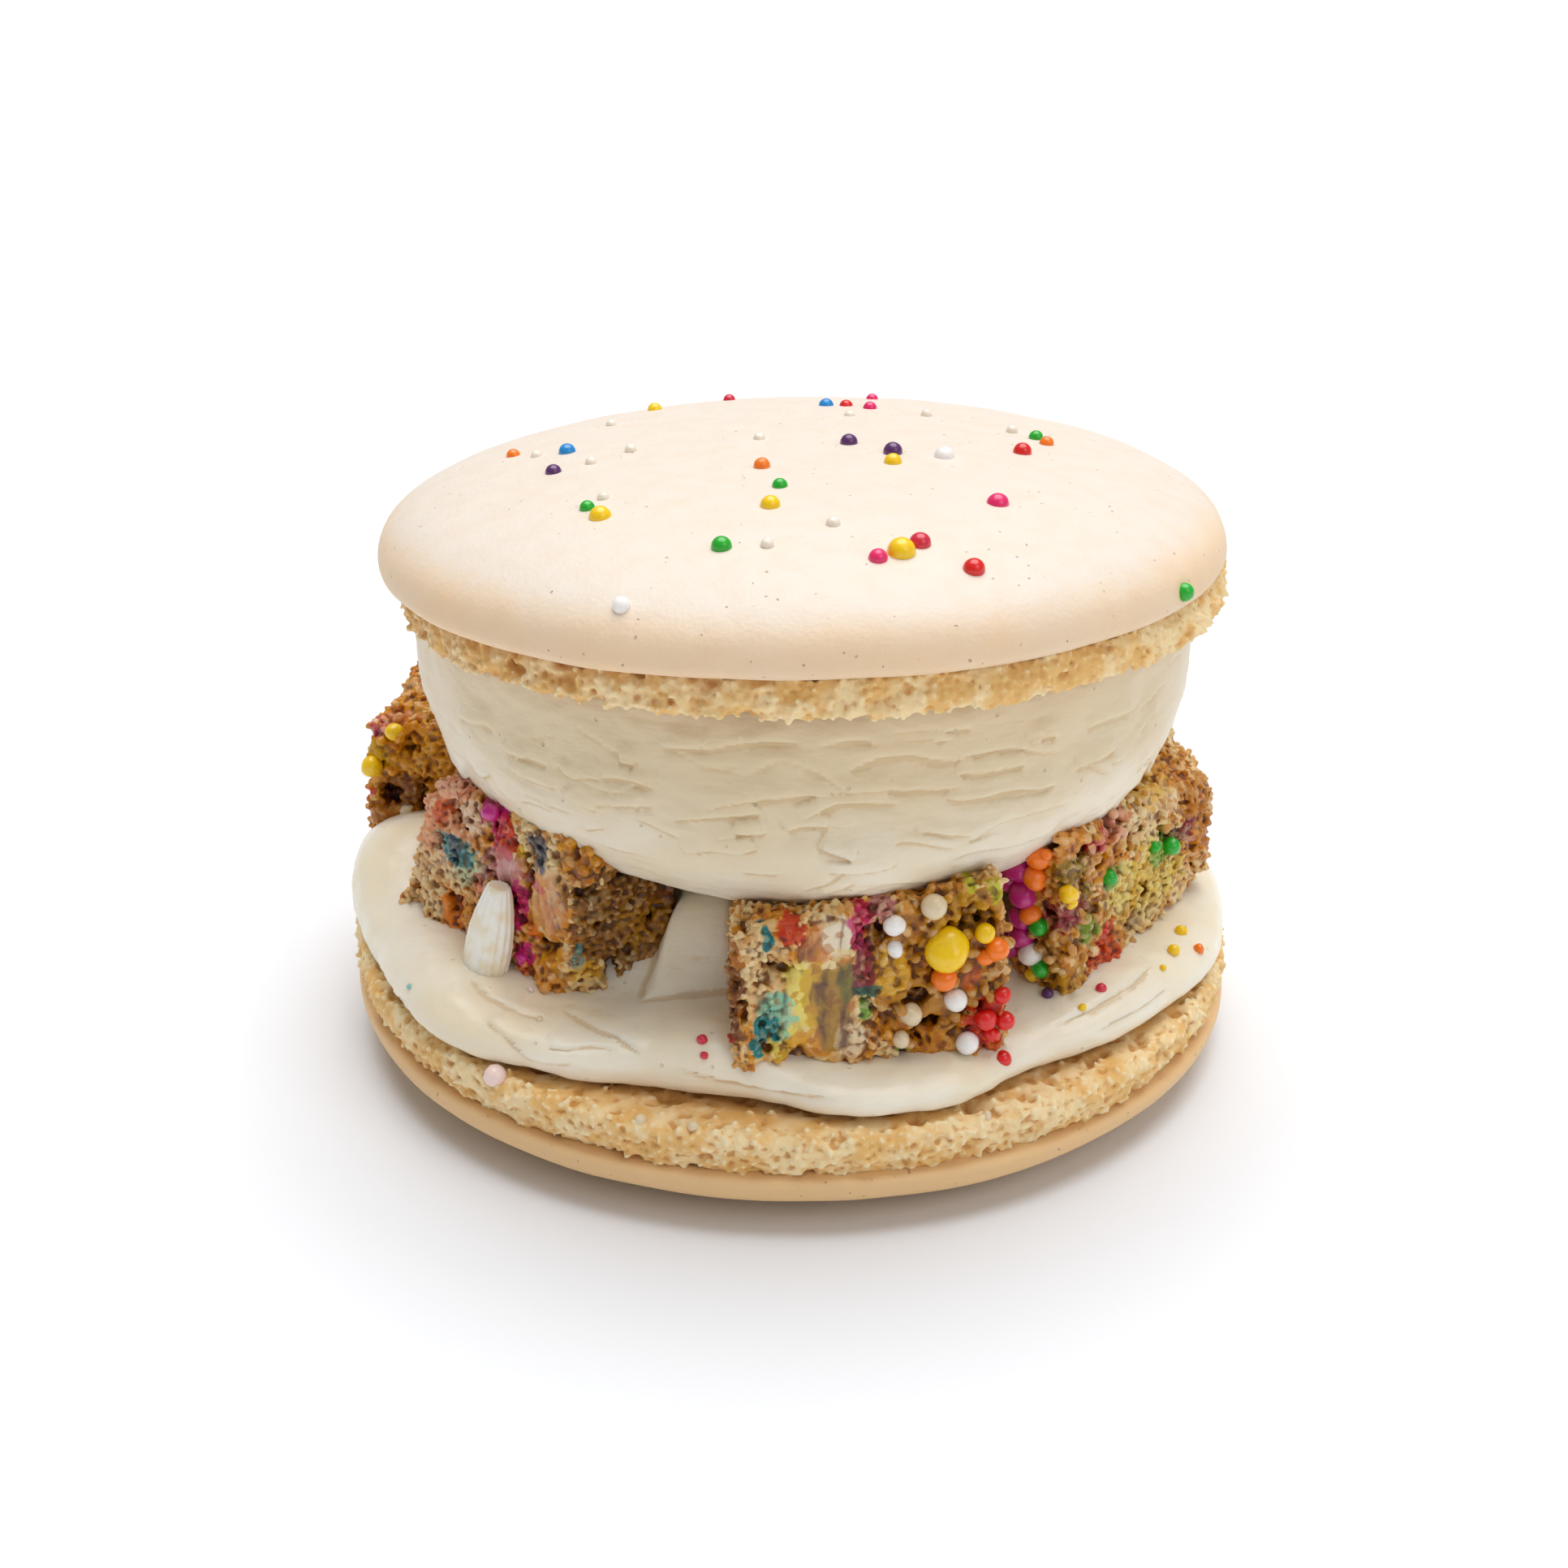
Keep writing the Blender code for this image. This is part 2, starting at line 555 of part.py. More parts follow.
def make_cake(material):
    rng = random.Random(SEED)
    corners = dict(CHUNKS)
    for name, angle in HIDDEN_CHUNKS.items():
        corners[name] = hidden_corners(angle, rng)
    for index, (name, ring) in enumerate(corners.items()):
        cuts = HIDDEN_CUTS if name in HIDDEN_CHUNKS else CHUNK_CUTS
        chunk = finish(make_block(ring, cuts, 0.0, CRUMB, 10.0 * index), name, material)
        if name == "cake_left":
            tools = tool_collection("chip_socket")
            finish(chip_body(CHIP_ROOM), "chip_socket", material, tools)
            combine(chunk, tools, "DIFFERENCE")
        if name in CAKE_SPRINKLES:
            tools = tool_collection(name + "_sprinkles")
            for centre, diameter in sprinkle_places(name, ring):
                make_ball(centre, diameter, material, tools)
            combine(chunk, tools, "UNION")
    return corners


def cut_sockets(cream, corners, material):
    """Cut the room for every chunk, sprinkle and chip out of a layer of cream."""
    tools = tool_collection(cream.name + "_sockets")
    for name, ring in corners.items():
        finish(make_block(ring, 1, CHUNK_ROOM, 0.0, 0.0), "socket", material, tools)
        for centre, diameter in sprinkle_places(name, ring):
            make_ball(centre, diameter + SPRINKLE_ROOM, material, tools)
    finish(chip_body(CHIP_ROOM), "socket", material, tools)
    combine(cream, tools, "DIFFERENCE")


def main():
    clear_scene()
    shell = make_material("shell")
    cream = make_material("cream")
    cake = make_material("cake")
    chip = make_material("chip")
    make_lower_shell(shell)
    lower = make_lower_cream(cream)
    upper = make_upper_cream(cream)
    make_upper_shell(shell)
    corners = make_cake(cake)
    finish(chip_body(0.0), "white_chip", chip)
    cut_sockets(lower, corners, cream)
    cut_sockets(upper, corners, cream)


main()
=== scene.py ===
"""A filled macaron: its looks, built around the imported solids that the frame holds.

Run it as a script in Blender 4.5. Every piece is modelled in millimetres and then brought to
metres, in the frame of the solids: the origin on the floor under the middle, +Z up, -Y in front.
"""

import math
import random

import bpy
from bpy.props import FloatProperty, FloatVectorProperty, PointerProperty
from mathutils import Matrix, Vector, kdtree, noise


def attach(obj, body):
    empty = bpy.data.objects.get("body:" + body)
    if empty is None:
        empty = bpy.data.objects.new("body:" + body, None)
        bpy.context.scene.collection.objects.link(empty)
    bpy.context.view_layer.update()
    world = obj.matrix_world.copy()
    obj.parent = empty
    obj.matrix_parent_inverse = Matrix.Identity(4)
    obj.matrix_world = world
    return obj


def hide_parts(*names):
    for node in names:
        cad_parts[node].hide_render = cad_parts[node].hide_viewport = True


bl_info = {
    "name": "Filled Macaron",
    "version": (1, 0, 0),
    "blender": (4, 5, 0),
    "location": "View3D > Sidebar > Macaron",
    "description": "Builds the shells, the cream, the confetti cake and the sprinkles of a filled macaron",
    "category": "Object",
}

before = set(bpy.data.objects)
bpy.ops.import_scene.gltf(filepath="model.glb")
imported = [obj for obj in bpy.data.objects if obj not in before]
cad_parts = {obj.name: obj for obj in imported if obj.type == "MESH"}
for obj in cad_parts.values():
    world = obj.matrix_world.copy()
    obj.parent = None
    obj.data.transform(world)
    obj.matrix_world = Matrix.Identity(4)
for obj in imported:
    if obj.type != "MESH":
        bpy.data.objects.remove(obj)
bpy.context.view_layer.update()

MM = 0.001
SEED = 7                     # of every random draw

# Numbers below are in millimetres and degrees, unless a comment says otherwise. The sizes that
# a user would change are settings of the scene, further down.

# Lower shell, dome down.
LOWER_LIP_Z = 5.0
LOWER_TOP_Z = 8.9
LOWER_FOOT_INSIDE = 29.0     # the cream hides the foot within this radius
LEAN = math.tan(math.radians(0.8))   # the right side is slightly lower than the left

# Upper shell, dome up, in its own frame: z = 0 is the lip of its skin.
UPPER_AT = (0.87, -0.75, 41.96)
UPPER_TILT = (-0.0735, -0.017, 0.0)  # radians
UPPER_LIP_RADIUS = 33.88
UPPER_BULGE_Z = 1.2          # height of its widest place
UPPER_DOME_POWER = 2.3       # 2 is an ellipse; above it the dome is squarer
UPPER_FOOT_WALL = 2.6        # the foot is a ring as wide as this
UPPER_FOOT_AT_X = 0.87       # it stands a little to the right of its skin

# Number of steps round each turned piece.
SKIN_STEPS = 96
FOOT_STEPS = 160
MOUND_STEPS = 84
BOWL_STEPS = 60

# Lower cream: radius of its edge, by compass angle from the front (+ is to the right).
CREAM_EDGE = {
    -180: 35.6, -135: 36.2, -100: 36.4, -81: 36.2, -67: 35.4, -48: 36.5, -30: 34.2, -18: 32.2,
    -3: 32.6, 8: 35.0, 20: 35.0, 33: 33.0, 50: 34.2, 75: 36.1, 105: 35.7, 145: 35.4,
}
CREAM_NOMINAL_EDGE = 35.0    # of the round mound, before it gets that edge
CREAM_HUMPS = (              # compass angle, radius, height, width
    (-88.0, 32.5, 3.6, 7.5),
    (-10.0, 33.5, 1.5, 5.0),
    (-18.0, 22.0, 1.0, 4.0),
    (32.0, 33.0, -0.9, 6.0),
    (10.0, 31.0, -1.3, 7.0),
    (-34.0, 28.0, -1.1, 5.0),
    (-60.0, 34.0, 1.0, 5.0),
    (140.0, 32.0, 1.8, 8.0),
)
MOUND_TOP_Z = 18.2

# Upper cream: a bowl of cream, its rounded bottom down.
BOWL_AT_X = 1.2
BOWL_BOTTOM_Z = 18.5
BOWL_RIM_Z = 38.0
BOWL_POWER = 3.0             # as for the dome
BOWL_STRETCH_FROM_Z = 30.0   # above this it follows the tilt of the upper shell
BOWL_BITE = 0.3              # it ends this far inside the upper shell
BOWL_BULGE = (6.0, 27.0, 2.0, 24.0, 4.5)     # compass angle, height, how far out, spreads

# Lips that the spatula left in the upper cream: compass angle and height of points along each.
UPPER_LIPS = (
    ((-20.8, 37.5), (-15.5, 38.0), (-12.3, 37.9), (-9.6, 38.4), (-6.9, 38.8), (-2.8, 38.9),
     (0.3, 38.8)),
    ((-14.6, 38.9), (-12.2, 38.4), (-10.1, 38.5), (-6.4, 39.1)),
    ((-29.5, 34.0), (-26.0, 34.4), (-23.3, 34.4), (-21.3, 34.0), (-19.0, 34.3)),
    ((-26.5, 35.9), (-24.1, 35.8), (-22.4, 35.6)),
    ((-28.3, 31.9), (-25.8, 32.1), (-23.3, 32.5), (-21.6, 32.1)),
    ((-19.3, 32.0), (-17.5, 32.5), (-13.5, 33.0), (-10.2, 33.6), (-7.0, 34.2), (-3.8, 34.3), (1.4, 34.7),
     (4.6, 34.7), (8.3, 34.9), (12.0, 34.7), (16.5, 34.4), (21.1, 34.1), (24.7, 33.7)),
    ((-19.3, 31.5), (-15.8, 32.1), (-10.3, 32.7), (-6.5, 33.1), (-4.9, 33.0)),
    ((-18.2, 29.0), (-15.2, 29.1), (-12.8, 29.6), (-10.0, 29.5), (-7.8, 29.7), (-5.6, 30.2)),
    ((-10.9, 31.4), (-8.8, 31.2), (-7.1, 31.5), (-4.4, 31.4)),
    ((-47.0, 34.1), (-46.4, 33.3), (-42.8, 33.7), (-38.9, 33.8), (-36.7, 33.5)),
    ((-47.0, 32.7), (-45.1, 32.0), (-40.3, 31.8), (-35.8, 31.9)),
    ((-36.5, 34.5), (-35.3, 33.8), (-34.0, 33.2), (-30.5, 33.9), (-27.3, 34.1)),
    ((-35.6, 32.6), (-34.6, 31.3), (-31.9, 31.0), (-28.6, 31.1)),
    ((-0.2, 38.2), (2.4, 38.6), (6.6, 38.8), (7.8, 38.8), (8.7, 38.4), (11.3, 38.5), (14.0, 38.6),
     (19.1, 38.1), (21.3, 38.0)),
    ((2.5, 35.1), (4.8, 36.4), (6.6, 37.0), (9.2, 37.4), (12.5, 37.6), (14.6, 37.1), (17.4, 36.7),
     (21.4, 36.7), (22.0, 37.0), (25.6, 36.8), (29.3, 36.6), (32.7, 35.7), (35.5, 35.5), (38.1, 34.8)),
    ((29.3, 36.7), (31.9, 36.8), (33.2, 37.0), (36.1, 36.6)),
    ((18.3, 35.4), (19.8, 35.4), (23.3, 35.3), (26.3, 35.3), (28.8, 35.2), (31.1, 35.0)),
    ((17.1, 34.3), (18.3, 33.6), (20.0, 33.3), (24.8, 33.1), (27.2, 33.3), (29.8, 33.1),
     (34.0, 32.6), (36.9, 32.6)),
    ((-2.6, 32.4), (-0.7, 32.6), (0.9, 33.1), (2.5, 33.7), (3.8, 34.0), (6.7, 34.0), (9.9, 33.8),
     (13.2, 33.7)),
    ((-3.9, 31.3), (-1.7, 31.9), (0.9, 32.1), (3.6, 32.0)),
    ((19.7, 29.2), (21.4, 29.6), (24.2, 30.4), (26.6, 30.9), (30.5, 30.8), (33.3, 30.8), (39.3, 30.5)),
    ((19.0, 27.8), (21.1, 28.6), (25.0, 28.5), (29.4, 27.9), (32.2, 27.8), (35.0, 28.0), (39.3, 28.4)),
    ((0.4, 30.6), (2.1, 30.2), (4.3, 29.6), (7.1, 29.3)),
    ((1.6, 28.2), (6.1, 28.4), (9.5, 28.4), (12.7, 29.0)),
    ((9.2, 39.1), (11.9, 39.3), (16.2, 39.1), (19.6, 39.1), (23.0, 38.8)),
    ((39.8, 36.3), (43.0, 36.3), (48.3, 36.2), (52.4, 36.0)),
    ((38.2, 33.2), (41.2, 33.4), (44.6, 33.3), (49.2, 33.3)),
    ((-58.9, 34.1), (-53.8, 34.6), (-49.6, 35.0), (-47.4, 34.7)),
)
HIDDEN_LIPS = 34             # more of them, round the back
FINE_LIPS = 90               # small ones, all round
LOWEST_LIP_Z = 22.0
HIGHEST_LIP_Z = 39.0
LIP_SLANT = 1.3              # how far lips wander up and down, together with those beside them

# The column of cream between the left and the front chunk.
COLUMN_FLOOR_Z = 12.0        # nothing below this belongs to it
COLUMN_FOOT = (-8.0, -25.3)
COLUMN_TOP = (-6.8, -20.0)
COLUMN_TOP_Z = 20.4
COLUMN_STEP = 0.9            # height of the lip at its foot
COLUMN_HALF = (3.6, 2.5)     # half its width at the foot and at the top

# Lips in the lower cream, as points on its surface.
LOWER_LIPS = (
    ((-18.1, -24.5, 12.8), (-16.0, -26.9, 12.8), (-14.4, -28.5, 12.7),
     (-11.4, -30.9, 12.5), (-10.2, -31.2, 12.4)),
    ((-19.3, -29.2, 12.5), (-18.3, -30.1, 12.4), (-17.0, -30.3, 12.4),
     (-15.2, -30.0, 12.5), (-12.3, -30.8, 12.4)),
    ((-23.7, -26.0, 12.0), (-22.4, -27.2, 11.5), (-20.3, -29.6, 11.2),
     (-17.7, -30.5, 11.2), (-15.9, -30.2, 11.3)),
    ((-33.4, -12.2, 12.0), (-31.7, -16.3, 11.6), (-30.5, -20.3, 11.2),
     (-28.1, -22.2, 10.6), (-25.9, -24.7, 10.2)),
    ((16.3, -27.8, 12.0), (16.1, -29.4, 12.0), (15.5, -30.6, 11.4)),
    ((-25.5, -21.5, 12.8), (-23.5, -24.0, 12.8), (-21.0, -26.0, 12.8), (-18.5, -27.0, 12.8)),
    ((-9.0, -32.0, 12.0), (-5.0, -34.0, 11.5), (0.0, -35.0, 11.2), (4.0, -35.6, 11.0)),
    ((20.0, -26.5, 12.4), (23.5, -24.0, 12.4), (27.0, -20.5, 12.4), (29.5, -16.5, 12.4)),
    ((24.0, -26.5, 11.4), (27.5, -22.5, 11.4), (30.5, -18.5, 11.4)),
)

# Cake chunks: four corners of the bottom and of the top, both starting at the front left.
CHUNKS = {
    "cake_front": (
        ((-4.3, -33.8, 11.6), (16.8, -29.3, 10.8), (13.0, -14.5, 11.0), (-3.8, -18.0, 11.0)),
        ((-4.9, -33.7, 23.8), (16.1, -29.7, 27.2), (12.6, -15.0, 24.6), (-4.2, -18.5, 23.4)),
    ),
    "cake_left": (
        ((-34.0, -9.2, 11.2), (-19.9, -22.3, 10.4), (-11.0, -22.1, 10.8), (-21.0, -1.5, 11.0)),
        ((-29.0, -12.2, 26.9), (-15.2, -26.3, 27.6), (-7.4, -19.6, 25.2), (-19.0, -4.0, 25.5)),
    ),
    "cake_right": (
        ((16.8, -18.0, 11.0), (21.8, -23.2, 10.6), (36.2, -2.5, 13.2), (27.5, 5.5, 12.0)),
        ((17.0, -21.5, 27.4), (20.6, -25.0, 27.9), (35.6, -3.0, 22.6), (31.6, 4.8, 25.6)),
    ),
    "cake_back_left": (
        ((-35.5, 19.0, 12.5), (-37.3, 4.8, 12.8), (-25.0, 2.0, 11.0), (-23.0, 16.0, 11.0)),
        ((-33.2, 14.5, 26.8), (-37.1, 4.6, 23.2), (-25.0, 3.2, 26.0), (-22.0, 14.0, 26.0)),
    ),
}

# Chunks at the back, by the compass angle at which each stands.
HIDDEN_CHUNKS = {"cake_back_right": 128.0, "cake_back": 169.0, "cake_rear_left": 210.0}
HIDDEN_RADIUS = 26.0         # from the middle of the macaron to the middle of a chunk
HIDDEN_SIZE = (15.0, 14.0, 14.5)
HIDDEN_FOOT_Z = 11.2
HIDDEN_UNEVEN = 0.7
SPOT_DEPTH = 3.0             # how deep a stain goes in, at least
RICHER = 1.30                # saturation of the crumb, which its shine washes out
DARKER = 0.88

# Crumb. Strewn crumbs have a least distance, a smallest and a largest half width.
CAKE_CRUMBS = (0.50, 0.18, 0.42)
CAKE_LUMPS = (0.95, 0.34, 0.68)
FOOT_CRUMBS = (0.50, 0.16, 0.40)
FOOT_LUMPS = (1.6, 0.24, 0.48)
CRUMB_INSET = 0.1            # the cake goes in by this, and its crumbs come out by a little more

# Cubes from which a crumbly piece is rebuilt, before and after the crumbs are strewn on it.
CAKE_CUBES = (0.35, 0.15)
HIDDEN_CAKE_CUBES = (0.35, 0.28)
LOWER_FOOT_CUBES = (0.34, 0.20)
UPPER_FOOT_CUBES = (0.30, 0.18)
CHIP_CUBE = 0.035            # share of its width, because the chip is stretched afterwards

# Most triangles that a piece keeps.
MOST_FACES = 155000
MOST_HIDDEN_FACES = 110000
MOST_FOOT_FACES = 190000
MOST_CREAM_FACES = 190000

# Places where the crumb is smooth, coarse or gone: face, shares, half widths, kind.
ZONES = {
    "cake_front": (
        (0, 0.34, 0.48, 2.7, 6.7, "smooth"), (0, 0.23, 0.44, 1.1, 4, "smooth"),
        (0, 0.4, 0.85, 1.5, 1.4, "smooth"), (0, 0.76, 0.53, 5.7, 8, "coarse"),
        (0, 0.66, 0.4, 1.1, 0.8, "hole"), (0, 0.73, 0.25, 0.7, 0.7, "hole"),
        (0, -0.01, 0.8, 0.4, 0.9, "hole"), (0, 0.04, 0.47, 0.7, 0.8, "hole"),
        (0, 0.03, 0.64, 0.5, 0.6, "hole"), (0, 0.82, 0.32, 0.6, 0.7, "hole"),
    ),
    "cake_left": (
        (0, 0.86, 0.59, 2.1, 3.7, "smooth"), (0, 0.59, 0.69, 2.2, 2, "smooth"),
        (0, 0.96, 0.26, 2.6, 1.9, "coarse"), (1, -0.08, 0.93, 3.5, 3, "coarse"),
        (1, 0.07, 0.71, 1.5, 0.9, "hole"), (1, 0.53, 0.26, 0.6, 1.5, "hole"),
        (1, 0.4, 0.8, 1, 0.6, "hole"),
    ),
    "cake_right": (
        (0, 0.24, 0.73, 1, 2.1, "hole"), (1, 0.29, 0.94, 4.8, 2.8, "coarse"),
        (1, 0.08, 0.38, 4.9, 4, "coarse"), (1, 0.18, 0.49, 1.4, 1, "hole"),
        (1, 0.64, 0.96, 4.6, 2.5, "coarse"),
    ),
    "cake_back_left": (
        (1, 0.17, 0.43, 1.1, 1.2, "hole"), (1, 0.2, 0.95, 3, 3.8, "coarse"),
    ),
}

# The white chip that sticks out of the left chunk.
CHIP_TOP = (-22.9, -19.8, 20.9)
CHIP_FOOT = (-24.9, -20.2, 11.4)
CHIP_OUT = (-0.66, -0.75, 0.0)       # the way that its broad side faces
CHIP_GROOVES = 15

# Nonpareils on the upper shell, in its own frame: x, y, diameter, by colour.
SHELL_SPRINKLES = {
    "blue": ((2.3, 14.4, 1.2), (-18.9, 1.2, 1.3), (0.5, 33.2, 1.2)),
    "red": ((4.0, 14.2, 1.1), (17.7, -2.2, 1.4), (12.2, -26.8, 1.5), (-14.0, 30.2, 1.3)),
    "pink": ((6.0, 12.9, 1.1), (14.7, -16.0, 1.6), (5.4, -26.4, 1.3), (6.4, 20.1, 1.0)),
    "orange": ((-23.5, 3.2, 1.1), (-3.0, -8.0, 1.2), (20.0, 1.6, 1.1), (24.0, 23.0, 1.2)),
    "purple": ((-19.5, -5.0, 1.2), (3.9, -1.4, 1.3), (7.3, -4.4, 1.4)),
    "green": (
        (-16.1, -15.2, 1.1), (-1.6, -13.3, 1.1), (19.3, 3.4, 1.1), (-5.8, -24.2, 1.4),
        (28.5, -19.0, 1.3), (-25.5, 21.4, 1.2),
    ),
    "yellow": (
        (-15.0, -17.2, 1.6), (-2.3, -17.4, 1.4), (7.2, -7.2, 1.3), (7.1, -25.5, 1.9),
        (-12.6, 17.9, 1.2), (12.5, 30.8, 1.4),
    ),
    "rose": ((8.5, -24.1, 1.5), (-6.2, 22.0, 1.0)),
    "white": ((11.3, -5.3, 1.5), (-12.8, -29.6, 1.2)),
    "cream": (
        (-21.4, 1.4, 0.9), (-16.6, -3.6, 0.9), (-13.6, -0.9, 0.9), (-15.0, -13.4, 0.9), (-3.3, 0.6, 0.9),
        (-2.5, -24.4, 0.9), (2.3, -21.2, 1.0), (4.2, 9.1, 0.9), (10.7, 10.4, 0.9), (17.5, 5.4, 0.9),
        (-15.9, 10.6, 0.9),
    ),
}

# Balls in the cake, by colour: chunk, face, share across, share up, diameter, lumpiness.
# Face 0 runs from the first corner to the second, face 1 from the second to the third.
CAKE_BALLS = {
    "yellow": (
        ("cake_front", 0, 0.77, 0.67, 3.2, 0.6), ("cake_front", 0, 0.91, 0.71, 1.6, 0.1),
        ("cake_right", 1, 0.01, 0.69, 1.5, 0.6), ("cake_right", 1, 0.03, 0.63, 1.0, 0.5),
        ("cake_right", 0, 0.49, 0.17, 1.2, 0.3), ("cake_back_left", 1, 0.06, 0.70, 1.9, 0.3),
        ("cake_back_left", 1, 0.24, 0.97, 1.6, 0.3),
    ),
    "orange": (
        ("cake_front", 0, 0.76, 0.50, 2.0, 0.05), ("cake_front", 0, 0.95, 0.61, 1.9, 0.4),
        ("cake_front", 0, 0.91, 0.58, 1.3, 0.3), ("cake_right", 0, 0.54, 0.84, 1.8, 0.4),
        ("cake_right", 0, 0.50, 0.73, 2.0, 0.4), ("cake_right", 0, 0.43, 0.52, 1.9, 0.4),
        ("cake_right", 0, 0.68, 0.87, 1.0, 0.5),
    ),
    "white": (
        ("cake_front", 0, 0.80, 0.37, 1.8, 0.05), ("cake_front", 0, 0.84, 0.12, 1.8, 0.05),
        ("cake_front", 0, 0.59, 0.85, 1.7, 0.3), ("cake_front", 0, 0.59, 0.71, 1.3, 0.5),
        ("cake_right", 0, 0.46, 0.29, 2.0, 0.1),
    ),
    "ivory": (
        ("cake_front", 0, 0.73, 0.91, 2.0, 0.1), ("cake_front", 0, 0.60, 0.18, 1.4, 0.2),
        ("cake_front", 0, 0.64, 0.32, 1.7, 0.4),
    ),
    "red": (
        ("cake_front", 0, 0.97, 0.36, 1.4, 0.1), ("cake_front", 0, 0.91, 0.24, 1.7, 0.4),
        ("cake_front", 0, 0.98, 0.22, 1.5, 0.2), ("cake_front", 0, 0.93, 0.15, 1.3, 0.5),
        ("cake_front", 0, 0.97, 0.01, 1.4, 0.05),
    ),
    "magenta": (
        ("cake_right", 0, 0.18, 0.75, 2.3, 0.4), ("cake_right", 0, 0.02, 0.66, 1.9, 0.4),
        ("cake_right", 0, 0.31, 0.61, 2.3, 0.4), ("cake_right", 0, 0.27, 0.47, 2.0, 0.4),
        ("cake_right", 0, 0.31, 0.37, 2.1, 0.4), ("cake_right", 0, 0.12, 0.28, 1.9, 0.4),
        ("cake_right", 0, 0.28, 0.09, 1.3, 0.2), ("cake_left", 0, 0.42, 0.95, 1.4, 0.6),
        ("cake_left", 0, 0.83, 0.26, 1.1, 0.6),
    ),
    "green": (
        ("cake_right", 0, 0.57, 0.46, 1.6, 0.3), ("cake_right", 0, 0.61, 0.23, 1.5, 0.3),
        ("cake_right", 1, 0.27, 0.64, 1.3, 0.3), ("cake_right", 1, 0.68, 0.59, 1.6, 0.4),
        ("cake_right", 1, 0.57, 0.66, 1.0, 0.4),
    ),
}
BALLS_OUT = 0.12             # the middle of a ball is outside its face by this share of its size

# Loose crumbs and sprinkles on the lower shell and its cream, by colour: x, y, size, lumpiness.
LOOSE_BITS = {
    "blush": ((-22.9, -28.7, 1.9, 0.15), (-20.5, -23.0, 0.5, 0.5)),
    "rose": ((-6.8, -31.6, 0.9, 0.8), (-6.6, -32.7, 0.7, 0.8), (24.5, -22.0, 0.9, 0.5)),
    "purple": ((20.2, -22.7, 1.0, 0.4),),
    "yellow": (
        (32.2, -11.9, 1.1, 0.5), (31.2, -15.1, 1.1, 0.5), (22.8, -24.3, 0.7, 0.5), (30.0, -17.5, 0.6, 0.5),
    ),
    "orange": ((33.5, -13.7, 1.0, 0.6),),
    "ivory": (
        (-33.6, 4.3, 1.4, 0.7), (-19.5, -27.2, 0.6, 0.6), (-23.5, -20.0, 0.7, 0.6), (14.8, -33.5, 0.8, 0.6),
        (-11.4, -34.7, 1.1, 0.4), (-7.4, -35.8, 0.9, 0.5), (6.0, 33.5, 0.9, 0.6), (-15.0, 31.0, 0.8, 0.6),
    ),
    "mint": ((-30.3, -21.4, 0.5, 0.4),),
    "pink": ((22.0, 27.5, 0.9, 0.4), (-27.5, 22.5, 0.9, 0.4)),
    "green": ((34.0, 8.0, 0.9, 0.4), (-4.0, 34.5, 0.8, 0.4)),
}
BITS_UP = 0.12               # the middle of a bit is above what carries it by this share of its size


def tint(red, green, blue):
    """Linear colour of the usual 0 to 255 values."""
    shares = (value / 255.0 for value in (red, green, blue))
    return tuple(s / 12.92 if s <= 0.04045 else ((s + 0.055) / 1.055) ** 2.4 for s in shares)


def mm(name):
    """A size from the settings, in millimetres; rounded, as Blender keeps it in single precision."""
    return round(getattr(bpy.context.scene.macaron_sizes, name) / MM, 4)


# Node trees, for materials and for relief

class Wire:
    """An output socket that takes part in plain arithmetic."""

    def __init__(self, graph, socket):
        self.graph = graph
        self.socket = socket

    def is_vector(self):
        """Whether the socket holds a vector or a colour."""
        return self.socket.type in ("VECTOR", "RGBA")

    def reckon(self, operation, first, second):
        """Add the Math node of an operation, or the Vector Math node where a vector takes part."""
        values = [first, second]
        vector = any(isinstance(item, Wire) and item.is_vector() for item in values)
        kind = "ShaderNodeVectorMath" if vector else "ShaderNodeMath"
        if vector:
            values = [(item,) * 3 if isinstance(item, (int, float)) else item for item in values]
        return self.graph.node(kind, {"operation": operation}, dict(enumerate(values)))

    def __add__(self, other):
        return self.reckon("ADD", self, other)

    def __radd__(self, other):
        return self.reckon("ADD", other, self)

    def __sub__(self, other):
        return self.reckon("SUBTRACT", self, other)

    def __rsub__(self, other):
        return self.reckon("SUBTRACT", other, self)

    def __mul__(self, other):
        return self.reckon("MULTIPLY", self, other)

    def __rmul__(self, other):
        return self.reckon("MULTIPLY", other, self)

    def length(self):
        """Length of a vector."""
        return self.graph.node("ShaderNodeVectorMath", {"operation": "LENGTH"}, {0: self}, "Value")

    def dot(self, other):
        """Dot product with another vector."""
        values = {0: self, 1: other}
        return self.graph.node("ShaderNodeVectorMath", {"operation": "DOT_PRODUCT"}, values, "Value")

    def part(self, axis):
        """One component of a vector or colour."""
        return self.graph.node("ShaderNodeSeparateXYZ", {}, {0: self}, axis)

    def between(self, low, high):
        """0 below low, 1 above high and an eased rise between; a low above high falls instead."""
        settings = {"interpolation_type": "SMOOTHSTEP"}
        if low < high:
            return self.graph.node("ShaderNodeMapRange", settings, {0: self, 1: low, 2: high})
        return 1.0 - self.between(high, low)


